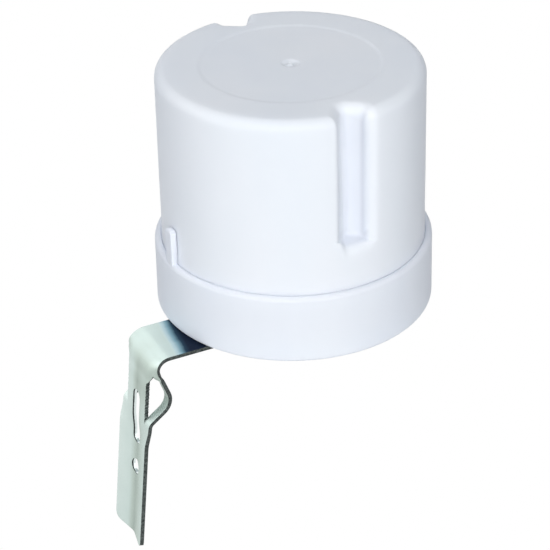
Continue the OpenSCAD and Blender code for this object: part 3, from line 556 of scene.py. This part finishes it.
def cap_rows(inset):
    """Rings of points that run up the cap's skin, at that inset from its outside, in the cap's own turn."""
    top = CAP_TOP - inset
    roll = max(TOP_ROUND - inset, TOP_ROUND_LEAST)
    ledge_top = NOTCH_LEDGE - inset
    fall = math.tan(math.radians(NOTCH_FALL))
    ledge_root = math.hypot(NOTCH_SIDE, NOTCH_FLOOR)

    def radius_at(z):
        snug = RIM_SNUG * (1 - min(max((z - RIM_HEIGHT) / SNUG_REACH, 0), 1)) ** 2
        return CAP_RADIUS + snug - CAP_DRAFT * max(z - RIM_HEIGHT, 0) / (CAP_TOP - RIM_HEIGHT)

    def ledge(spot):
        return ledge_top - fall * (np.hypot(*spot) - ledge_root)

    rows = []
    half, notch_count, ends = notch_half(radius_at(NOTCH_LEDGE), inset)
    n = len(half)
    # Plain skirt, with the snap bead on its outside
    for z in SKIRT_HEIGHTS:
        if z > SKIRT_TOP - inset:
            break
        bead = BEAD_OUT if z == BEAD_HEIGHT and inset == 0 else 0
        ring = ring_outline(radius_at(z) + bead - inset, ends, notch_count)
        rows.append(np.column_stack((ring, np.full(2 * n, z))))
    # The lip and ledge at the foot of the notches, while the wall goes on
    outer = ring_outline(radius_at(NOTCH_LEDGE) - inset, ends, notch_count)
    inner = cap_outline(radius_at(NOTCH_LEDGE), inset)
    lifts = [LIP_LIFT if i < EDGE_POINTS + SIDE_POINTS else 0 for i in range(notch_count)]
    paths = [rolled_path(outer[i], inner[i], ledge, lifts[i]) for i in range(notch_count)]
    for k, z_wall in enumerate(np.linspace(
            SKIRT_TOP - inset + LEDGE_ROWS_BELOW, NOTCH_LEDGE + LEDGE_ROWS_ABOVE, len(paths[0]))):
        row = np.column_stack((outer, np.full(2 * n, z_wall)))
        for i in range(notch_count):
            share, z = paths[i][k]
            spot = outer[i] * (1 - share) + inner[i] * share
            row[i] = (*spot, z)
            row[i + n] = (*-spot, z)
        rows.append(row)
    # Up the notches and the wall to the rolled top edge
    foot = rows[-1][:, 2]
    for share in WALL_SHARES:
        z = foot + (top - roll - foot) * share
        lean = NOTCH_DRAFT + (NOTCH_TOP_DRAFT - NOTCH_DRAFT) * share
        ring = cap_outline(radius_at(float(z.mean())), inset, lean)
        rows.append(np.column_stack((ring, z)))
    for angle in np.radians(np.linspace(0, 90, TOP_ROUND_ROWS)):
        z = top - roll + roll * math.sin(angle)
        ring = cap_outline(radius_at(z), inset + roll * (1 - math.cos(angle)), NOTCH_TOP_DRAFT)
        rows.append(np.column_stack((ring, np.full(2 * n, z))))
    # The top's faces fan in from the notch's edge by its own angles, and none turns over at the far side
    brim = rows[-1][:, :2]
    edge_turn = np.degrees(np.arctan2(brim[:notch_count, 1], brim[:notch_count, 0]))
    fan = np.maximum.accumulate(edge_turn + TOP_FAN_LEAD * np.linspace(0, 1, notch_count))
    fan = np.radians(np.append(fan, np.linspace(fan[-1], fan[0] + 180, WALL_POINTS + 2)[1:-1]))

    def disc(radius, drop):
        half_ring = radius * np.column_stack((np.cos(fan), np.sin(fan)))
        return np.column_stack((np.vstack((half_ring, -half_ring)), np.full(2 * n, top - drop)))

    # Top face, sunk panel and dimple, or the plain roof inside
    rim = disc(PANEL_RADIUS + PANEL_EDGE[0][0], 0)
    for share in BRIM_SHARES:
        rows.append(np.column_stack((brim * (1 - share) + rim[:, :2] * share, np.full(2 * n, top))))
    if inset == 0:
        rows += [disc(PANEL_RADIUS + beyond, share * PANEL_DROP) for beyond, share in PANEL_EDGE]
        rows += [disc(r, PANEL_DROP) for r in PANEL_RINGS]
        rows += [disc(r, PANEL_DROP + below) for r, below in DIMPLE]
    else:
        rows += [disc(r, 0) for r in ROOF_RINGS]
    return rows


def to_row_frame(points, turn=0):
    """Millimetres about the body's axis, turned about it, as metres in the part's frame."""
    c, s = math.cos(math.radians(turn)), math.sin(math.radians(turn))
    points = np.asarray(points, float)
    x, y = points[:, 0] * c - points[:, 1] * s, points[:, 0] * s + points[:, 1] * c
    return np.column_stack((x, y, points[:, 2])) * MM + np.array(body_axis)


def skin_faces(rows, offset, flip):
    """Quads between rings of points and a fan on the last one, turned round for an inner skin."""
    n = len(rows[0])
    faces = []
    for k in range(len(rows) - 1):
        for i in range(n):
            a, b = offset + k * n + i, offset + k * n + (i + 1) % n
            faces.append((a, b, b + n, a + n))
    last = offset + (len(rows) - 1) * n
    faces += [(last + i, last + (i + 1) % n, last + n) for i in range(n)]
    return [f[::-1] for f in faces] if flip else faces


def new_piece(name, points, faces, materials):
    """A smooth mesh object at the origin, from points in metres."""
    mesh = bpy.data.meshes.new(name)
    mesh.from_pydata([tuple(p) for p in points], [], faces)
    mesh.update()
    for made in materials:
        mesh.materials.append(made)
    mesh.polygons.foreach_set("use_smooth", [True] * len(mesh.polygons))
    piece = bpy.data.objects.new(name, mesh)
    bpy.context.scene.collection.objects.link(piece)
    return piece


def make_cap(finish):
    """The cap as a closed shell: the outer skin, the inner skin and the foot between them."""
    outer, inner = cap_rows(0), cap_rows(CAP_WALL)
    n = len(outer[0])
    peak = np.array([[0, 0, outer[-1][0, 2]]])
    roof = np.array([[0, 0, inner[-1][0, 2]]])
    points = np.vstack((*outer, peak, *inner, roof))
    start = len(outer) * n + 1
    faces = skin_faces(outer, 0, False) + skin_faces(inner, start, True)
    faces += [(i, start + i, start + (i + 1) % n, (i + 1) % n) for i in range(n)]
    piece = new_piece("cap_shell", to_row_frame(points, CAP_TURN), faces, [finish])
    merge(piece, SKIN_JOIN)
    return piece


def merge(piece, distance):
    """Joins points that lie on each other and drops faces that vanish with them."""
    shape = bmesh.new()
    shape.from_mesh(piece.data)
    bmesh.ops.remove_doubles(shape, verts=shape.verts, dist=distance * MM)
    bmesh.ops.dissolve_degenerate(shape, edges=shape.edges, dist=distance * MM)
    shape.to_mesh(piece.data)
    shape.free()


def finished(piece):
    """Turns a piece's modifiers into plain mesh."""
    graph = bpy.context.evaluated_depsgraph_get()
    done = bpy.data.meshes.new_from_object(
        piece.evaluated_get(graph), preserve_all_data_layers=True, depsgraph=graph)
    piece.modifiers.clear()
    piece.data = done
    return piece


def recalculate(piece):
    """Turns a mesh's faces outwards."""
    shape = bmesh.new()
    shape.from_mesh(piece.data)
    bmesh.ops.recalc_face_normals(shape, faces=shape.faces)
    shape.to_mesh(piece.data)
    shape.free()


def broken_edges(piece, width, sharp, finish):
    """Small rounding, in a finish, on the edges that turn by more than an angle."""
    edge = piece.modifiers.new("broken_edge", "BEVEL")
    edge.width = width * MM
    edge.segments = 2
    edge.limit_method = "ANGLE"
    edge.angle_limit = math.radians(sharp)
    edge.material = finish


def weighted_normals(piece, sharp):
    """Normals weighted by the size of the faces. Edges that turn by more than an angle are kept sharp."""
    piece.data.set_sharp_from_angle(angle=math.radians(sharp))
    weigh = piece.modifiers.new("weighted", "WEIGHTED_NORMAL")
    weigh.mode = "FACE_AREA"
    weigh.weight = NORMAL_WEIGHT
    weigh.keep_sharp = True


def refined(node, name, materials):
    """A copy of a solid with its triangles joined and its normals weighted by face."""
    piece = bpy.data.objects.new(name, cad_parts[node].data.copy())
    bpy.context.scene.collection.objects.link(piece)
    piece.data.materials.clear()
    for made in materials:
        piece.data.materials.append(made)
    for attribute in [a.name for a in piece.data.attributes if a.name == "custom_normal"]:
        piece.data.attributes.remove(piece.data.attributes[attribute])
    shape = bmesh.new()
    shape.from_mesh(piece.data)
    bmesh.ops.remove_doubles(shape, verts=shape.verts, dist=SOLID_JOIN * MM)
    bmesh.ops.dissolve_limit(
        shape, angle_limit=math.radians(FLAT_WITHIN), verts=shape.verts, edges=shape.edges)
    for face in shape.faces:
        face.smooth = True
        face.material_index = 0
    shape.to_mesh(piece.data)
    shape.free()
    weighted_normals(piece, SHARP_MOULDING)
    return finished(piece)


def close_joint(piece):
    """Draws the rim's inner edge in towards the cap, so that the joint between them is a fine line."""
    for point in piece.data.vertices:
        away = (point.co - body_axis) / MM
        radius = math.hypot(away.x, away.y)
        beyond = (radius - RIM_INNER) / RIM_INNER_WIDTH
        if away.z > RIM_HEIGHT - RIM_CLOSE_DEPTH and -RIM_INNER_SLACK < beyond < 1:
            pulled = 1 - RIM_CLOSE * (1 - max(beyond, 0)) / radius
            point.co.x, point.co.y = body_axis.x + away.x * pulled * MM, body_axis.y + away.y * pulled * MM


def strip_path(start, knots):
    """Lengths and points along a path whose heading runs evenly between (length, heading) knots."""
    lengths = np.linspace(0, knots[-1][0], int(knots[-1][0] / PATH_STEP) + 2)
    heading = np.interp(lengths, *np.transpose(knots))
    middle = np.radians((heading[1:] + heading[:-1]) / 2)
    steps = -np.diff(lengths)[:, None] * np.column_stack((np.cos(middle), np.sin(middle)))
    return lengths, np.vstack((start, np.asarray(start) + np.cumsum(steps, axis=0)))


def point_on(path, length):
    """Point on a path at a length."""
    lengths, points = path
    return np.array([np.interp(length, lengths, points[:, 0]), np.interp(length, lengths, points[:, 1])])


def bend_length(radius, start, end):
    """Length of a bend from one heading to another."""
    return radius * math.radians(abs(end - start))


def neck_path():
    """The strip's middle line from the flange's tail to the leg's tip, and where its bend and leg start."""
    bend = FLANGE_TAIL + FLANGE_REACH
    leg = bend + bend_length(BEND_RADIUS, 0, LEG_TURN)
    knots = [(0, 0), (bend, 0), (leg, LEG_TURN), (leg + LEG_LENGTH, LEG_TURN)]
    return strip_path((FLANGE_TAIL, -SHEET / 2), knots), bend, leg


def loop_path(side):
    """The middle line of the loop on one side, and where it leaves the neck's."""
    neck, bend, leg = neck_path()
    part_turn, slope_up, slope_down, top_radius, crown_radius = LOOPS[side]
    part = bend + bend_length(BEND_RADIUS, 0, part_turn)
    up, back = 90 + slope_up, 90 - slope_down
    bends = (bend_length(top_radius, part_turn, up), bend_length(crown_radius, up, back),
             bend_length(LOOP_FOOT_RADIUS, back, LEG_TURN))

    def path(rise, fall):
        ends = np.cumsum((0, bends[0], rise, bends[1], fall, bends[2]))
        return strip_path(point_on(neck, part), list(zip(ends, (part_turn, up, up, back, back, LEG_TURN))))

    # Its two straight runs are as long as it takes to meet the leg again
    gap = point_on(neck, leg + LOOP_DOWN) - path(0, 0)[1][-1]
    runs = np.array([(-math.cos(math.radians(h)), -math.sin(math.radians(h))) for h in (up, back)]).T
    return path(*np.linalg.solve(runs, gap)), part


def eased(value):
    """Smooth step from 0 to 1."""
    value = min(max(value, 0), 1)
    return value * value * (3 - 2 * value)


def corner_drop(y):
    """How far a rounded corner falls short of the strip's square end at that place across its width."""
    over = max(abs(y) - STRIP_WIDTH / 2 + STRIP_CORNER, 0)
    return STRIP_CORNER - math.sqrt(max(STRIP_CORNER**2 - over**2, 0))


def strip_sheet():
    """Points and faces of the strip's middle surface, slit along both lances."""
    neck, bend, leg = neck_path()
    loops = {side: loop_path(side) for side in LOOPS}
    foot = leg + LOOP_DOWN
    total, half, lance = neck[0][-1], STRIP_WIDTH / 2, STRIP_WIDTH / 2 - LOOP_WIDTH
    normal = np.array((math.sin(math.radians(LEG_TURN)), -math.cos(math.radians(LEG_TURN))))
    rows = [*np.linspace(0, END_RUN, END_ROWS), *np.linspace(FLANGE_FROM, bend, FLANGE_ROWS)]
    for stop, count in ((foot, LOOP_ROWS), (foot + TROUGH_RUN, TROUGH_ROWS), (total - END_RUN, LEG_ROWS),
                        (total, END_ROWS)):
        rows += list(np.linspace(rows[-1], stop, count)[1:])
    # Columns across the sheet: in the core by place, and between the core, the lance and the edge by share
    core = (0.5, 1.0, 1.6, 2.4, 3.2, 4.0, 4.8)
    to_lance = (0.35, 0.7, 1.0)
    to_edge = (0.3, 0.6, 0.8, 0.93, 1.0)
    near = [("core", y) for y in core] + [("flap", f) for f in to_lance] + [("loop", f) for f in to_edge]
    columns = [(-1, *c) for c in near[::-1]] + [(1, "core", 0)] + [(1, *c) for c in near]
    slit_column = ("flap", 1.0)

    def share_along(row, side):
        """Share of a loop's length at that row: below 0 before it and above 1 after it."""
        part = loops[side][1]
        return (rows[row] - part) / (foot - part)

    def place(row, column, of_loop):
        """A point of the sheet: the loops' points leave the neck's path for their own."""
        sign, kind, value = columns[column]
        loop, along = loops[sign][0], share_along(row, sign)
        cut = LANCE_EDGE * min(max((LANCE_NECK - along) / (LANCE_NECK - LANCE_TOP), 0), 1)
        slit = lance + LOOP_WIDTH * cut
        y = {
            "core": value,
            "flap": core[-1] + (slit - core[-1]) * value,
            "loop": slit + (half - slit) * value,
        }[kind]
        s = rows[row]
        if s < END_RUN:
            s += corner_drop(y) * (1 - s / END_RUN)
        if s > total - END_RUN:
            s -= corner_drop(y) * (s - total + END_RUN) / END_RUN
        spot = point_on(neck, s)
        if 0 < along < 1:
            weight = DRAWN_SHARE * max(min(y, slit) - lance, 0) / LOOP_WIDTH
            if of_loop:
                weight += (1 - weight) * max(y - slit, 0) / (half - slit)
                weight += (1 - weight) * eased((along - LANCE_TOP) / LANCE_OPEN)
            spot = spot * (1 - weight) + point_on(loop, along * loop[0][-1]) * weight
        ridge = (math.hypot(y, TROUGH_SOFT) - TROUGH_SOFT) / (math.hypot(half, TROUGH_SOFT) - TROUGH_SOFT)
        pressed = eased((s - foot) / TROUGH_RUN) * (TROUGH_IN - (TROUGH_IN + TROUGH_OUT) * ridge)
        spot = spot + pressed * normal
        # The torn edge of the neck wanders a little from row to row
        if LANCE_NECK + LANCE_OPEN < along < 1 - LANCE_OPEN and not of_loop and (kind, value) == slit_column:
            y += LANCE_TEAR * ((row * TEAR_STEP) % 1 - TEAR_LEAN)
        return spot[0], sign * y - STRIP_OFF, spot[1]

    points, index, faces = [], {}, []

    def corner(row, column, of_loop):
        """Number of a point; the points along an open lance are kept twice."""
        on_slit = columns[column][1:] == slit_column
        slit = on_slit and LANCE_TOP < share_along(row, columns[column][0]) < 1 - 1e-6
        key = (row, column, of_loop and slit)
        if key not in index:
            index[key] = len(points)
            points.append(place(row, column, of_loop))
        return index[key]

    for row in range(len(rows) - 1):
        for column in range(len(columns) - 1):
            of_loop = "loop" in (columns[column][1], columns[column + 1][1])
            faces.append([corner(row + r, column + c, of_loop) for r, c in ((0, 0), (1, 0), (1, 1), (0, 1))])
    return points, faces


def prism(outline, depth):
    """Points and faces of a straight prism on a plan outline, from -depth to depth."""
    n = len(outline)
    points = [(x, y, z) for z in (-depth, depth) for x, y in outline]
    faces = [tuple(range(n))[::-1], tuple(range(n, 2 * n))]
    return np.array(points), faces + [(i, (i + 1) % n, n + (i + 1) % n, n + i) for i in range(n)]


def punches():
    """The punched holes as prisms in the body's frame: two in the flange, a slot and a hole in the leg."""
    made = []
    neck, _, leg = neck_path()
    leg_end = point_on(neck, leg)
    for x in SCREWS_AT:
        made.append(prism(circle_points((x, -STRIP_OFF), SCREW_HOLE_RADIUS, SCREW_HOLE_POINTS), PUNCH_REACH))
    slot_ends = SLOT_DOWN + SLOT_RADIUS, SLOT_DOWN + SLOT_LENGTH - SLOT_RADIUS
    slot = np.vstack((curve_points((slot_ends[0], 0), SLOT_RADIUS, 90, 270, SLOT_END_POINTS),
                      curve_points((slot_ends[1], 0), SLOT_RADIUS, 270, 450, SLOT_END_POINTS)))
    turn = math.radians(LEG_TURN)
    # Down the leg, across it, and out of its wall side
    turned = np.array((
        (-math.cos(turn), 0, -math.sin(turn)), (0, 1, 0), (math.sin(turn), 0, -math.cos(turn))))
    for outline in (slot, circle_points((HOLE_DOWN, 0), HOLE_RADIUS, HOLE_POINTS)):
        points, faces = prism(outline, PUNCH_REACH)
        made.append((points @ turned + (leg_end[0], -STRIP_OFF, leg_end[1]), faces))
    return made


def make_bracket(*finishes):
    """The bracket: a sheet given its thickness, punched, with its cut edges broken and left in bare steel.

    Its finishes are those of the sheet's faces, of its sheared edges and of the punched walls.
    """
    points, faces = strip_sheet()
    piece = new_piece("bracket_strip", to_row_frame(points), faces, finishes)
    recalculate(piece)
    thick = piece.modifiers.new("sheet", "SOLIDIFY")
    thick.thickness = SHEET * MM
    thick.offset = 0
    thick.use_even_offset = True
    thick.material_offset_rim = SHEARED
    broken_edges(piece, EDGE_BREAK, SHARP_SHEET, SHEARED)
    finished(piece)
    cutters = []
    for i, (spots, sides) in enumerate(punches()):
        cutter = new_piece(f"punch_{i}", to_row_frame(spots), sides, finishes)
        cutter.data.polygons.foreach_set("material_index", [PUNCHED] * len(sides))
        recalculate(cutter)
        hole = piece.modifiers.new(f"hole_{i}", "BOOLEAN")
        hole.operation = "DIFFERENCE"
        hole.solver = "EXACT"
        hole.object = cutter
        cutters.append(cutter)
    finished(piece)
    for cutter in cutters:
        bpy.data.objects.remove(cutter)
    merge(piece, SHEET_JOIN)
    weighted_normals(piece, SHARP_SHEET)
    return finished(piece)


def soft_lamp(name, azimuth, elevation, distance, size, watts):
    """A square white studio lamp that faces the body's middle, by azimuth and height in degrees."""
    lamp = bpy.data.lights.new(name, "AREA")
    lamp.size = size
    lamp.energy = watts
    held = bpy.data.objects.new(name, lamp)
    bpy.context.scene.collection.objects.link(held)
    a, e = math.radians(azimuth), math.radians(elevation)
    back = Vector((math.sin(a) * math.cos(e), -math.cos(a) * math.cos(e), math.sin(e)))
    held.location = body_axis + Vector(AIM_AT) * MM + back * distance
    held.rotation_euler = (-back).to_track_quat("-Z", "Y").to_euler()


def photo_camera():
    """The photograph's viewpoint: aimed at the body, rolled, then turned to put the body off the middle."""
    place = body_axis + Vector(CAMERA_AT) * MM
    ahead = (body_axis + Vector(AIM_AT) * MM - place).normalized()
    right = ahead.cross(Vector((0, 0, 1))).normalized()
    up = right.cross(ahead)
    roll = math.radians(ROLL)
    right, up = math.cos(roll) * right - math.sin(roll) * up, math.sin(roll) * right + math.cos(roll) * up
    focal = LENS * PICTURE / SENSOR
    seen = ((AIM_PIXEL[0] - PICTURE / 2) * right - (AIM_PIXEL[1] - PICTURE / 2) * up
            + focal * ahead).normalized()
    turn = seen.rotation_difference(ahead)
    right, up, ahead = turn @ right, turn @ up, turn @ ahead
    camera = bpy.data.cameras.new("photo_camera")
    camera.sensor_width = SENSOR
    camera.lens = LENS
    camera.clip_start = 0.01
    held = bpy.data.objects.new("photo_camera", camera)
    bpy.context.scene.collection.objects.link(held)
    held.matrix_world = Matrix.Translation(place) @ Matrix((right, up, -ahead)).transposed().to_4x4()
    bpy.context.scene.camera = held


def seen_directly(tree):
    """1 where the eye, a reflection or a clear piece sees the surroundings, and 0 for the light they give."""
    path = add(tree, "ShaderNodeLightPath")
    seen = add(tree, "ShaderNodeMath", {0: path.outputs["Is Camera Ray"], 1: path.outputs["Is Glossy Ray"]},
               operation="MAXIMUM")
    seen = add(tree, "ShaderNodeMath", {0: seen.outputs[0], 1: path.outputs["Is Transmission Ray"]},
               operation="MAXIMUM")
    return seen.outputs[0]


def studio():
    """White surroundings, a pale floor well below the wall fitting, and soft lamps."""
    world = bpy.data.worlds.new("studio")
    bpy.context.scene.world = world
    world.use_nodes = True
    tree = world.node_tree
    tree.nodes.clear()
    lit = add(tree, "ShaderNodeBackground", {"Color": linear("#d9e6ff"), "Strength": 0.17})
    white = add(tree, "ShaderNodeBackground", {"Color": grey(1), "Strength": 1})
    both = add(tree, "ShaderNodeMixShader", {0: seen_directly(tree), 1: lit.outputs[0], 2: white.outputs[0]})
    add(tree, "ShaderNodeOutputWorld", {"Surface": both.outputs[0]})

    paint, tree = new_material("floor_paint")
    place = add(tree, "ShaderNodeTexCoord").outputs["Object"]
    mottle = add(tree, "ShaderNodeTexNoise", {"Vector": place, "Scale": 6, "Detail": 2})
    tone = add(tree, "ShaderNodeValToRGB", {"Fac": mottle.outputs["Fac"]}, [
        (0.3, linear("#e9ecef")), (0.7, linear("#f1f3f5"))])
    matt = add(tree, "ShaderNodeBsdfDiffuse", {"Color": tone.outputs["Color"]})
    glow = add(tree, "ShaderNodeEmission", {"Color": grey(1), "Strength": 1})
    both = add(tree, "ShaderNodeMixShader", {
        0: seen_directly(tree), 1: matt.outputs[0], 2: glow.outputs[0]})
    add(tree, "ShaderNodeOutputMaterial", {"Surface": both.outputs[0]})
    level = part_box("bracket")[0].z - FLOOR_DROP
    corners = [(x * FLOOR_HALF, y * FLOOR_HALF, level) for x, y in ((-1, -1), (1, -1), (1, 1), (-1, 1))]
    floor = new_piece("floor", corners, [(0, 1, 2, 3)], [paint])

    for name, values in LAMPS.items():
        soft_lamp(name, *values)


bpy.context.scene.view_settings.view_transform = "Standard"

# The third colour of each plastic is the painted shade laid in the grip notches and on their ledge
milky_cap = milky_plastic("milky_polypropylene", "#f4f8ff", "#eef3fc", "#e3e6ec", 0.4)
white_base = milky_plastic("white_polypropylene", "#f1f5fe", "#eaeffa", "#e8ecf5", 0.42)
zinc = zinc_sheet("galvanised_strip")
sheared = sheared_steel("sheared_edge")

cap = make_cap(milky_cap)
base = refined("base", "base_cup", [white_base])
close_joint(base)
bracket = make_bracket(zinc, sheared, punched_wall("punched_wall"))
for piece, node, slot in ((cap, "cap", "milky_cap"), (base, "base", "white_base"),
                          (bracket, "bracket", "galvanised_sheet")):
    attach(piece, "root")
    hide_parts(node)

# Finishes of the pieces that keep their solids
rubber = plain_finish("nitrile_rubber", "#2a2b2c", "#1c1d1e", 0.8, 0.62, relief_depth=0.2)
bright_zinc = plain_finish("zinc_plated_steel", "#d5dad9", "#b4bcbc", 0.9, 0.3, metal=1.0)
spring = plain_finish("spring_steel", "#8d9296", "#5f6468", 0.6, 0.38, metal=1.0)
laminate = plain_finish("phenolic_paper_board", "#b98a4d", "#a3763c", 1.6, 0.5, drawn=(0.3, 1, 1), coat=0.2)
relay_blue = plain_finish("relay_case_pbt", "#1f4fa8", "#1a4492", 0.5, 0.34)
film_red = plain_finish("film_capacitor_epoxy", "#8e2a20", "#7c2018", 1.2, 0.28, coat=0.4)
can_blue = plain_finish("can_sleeve_pvc", "#1b2350", "#141a3e", 1.0, 0.25, coat=0.3)
varistor_green = plain_finish("varistor_epoxy", "#1e6e86", "#185c71", 0.9, 0.3, coat=0.4)
black_epoxy = plain_finish("black_moulding_epoxy", "#232324", "#161617", 0.3, 0.55, relief_depth=0.15)
zener_glass = plain_finish("orange_diode_glass", "#c9632c", "#a94b1c", 1.0, 0.12, coat=0.8)
resistor_tan = plain_finish("resistor_lacquer", "#d8ba86", "#c6a56c", 0.8, 0.35, coat=0.2)
fuse_grey = plain_finish("cement_lacquer", "#6d7880", "#5b656c", 0.6, 0.7, relief_depth=0.2)
disc_ochre = plain_finish("disc_capacitor_coat", "#b9742f", "#a36325", 0.7, 0.55)
sensor_orange = plain_finish("sensor_epoxy", "#d98a43", "#b96b2c", 0.6, 0.2, coat=0.6)
sleeve_white = plain_finish("glass_fibre_sleeve", "#ecebe6", "#dcdad3", 0.3, 0.6, relief_depth=0.3)
brass = plain_finish("eyelet_brass", "#dcb766", "#c39d4d", 0.7, 0.25, metal=1.0)

FINISHES = {
    "cover_seal": rubber,
    "wire_grommet": rubber,
    "bracket_screws": bright_zinc,
    "board_screws": bright_zinc,
    "lock_washers": spring,
    "circuit_board": laminate,
    "relay": relay_blue,
    "film_capacitor": film_red,
    "smoothing_capacitor": can_blue,
    "varistor": varistor_green,
    "rectifier_diodes": black_epoxy,
    "transistor": black_epoxy,
    "zener_diode": zener_glass,
    "resistors": resistor_tan,
    "fusible_resistor": fuse_grey,
    "ceramic_capacitor": disc_ochre,
    "photoresistor": sensor_orange,
    "lead_sleeves": sleeve_white,
    "wire_eyelets": brass,
}
for node, made in FINISHES.items():
    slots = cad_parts[node].data.materials
    slots.clear()
    slots.append(made)

photo_camera()
studio()
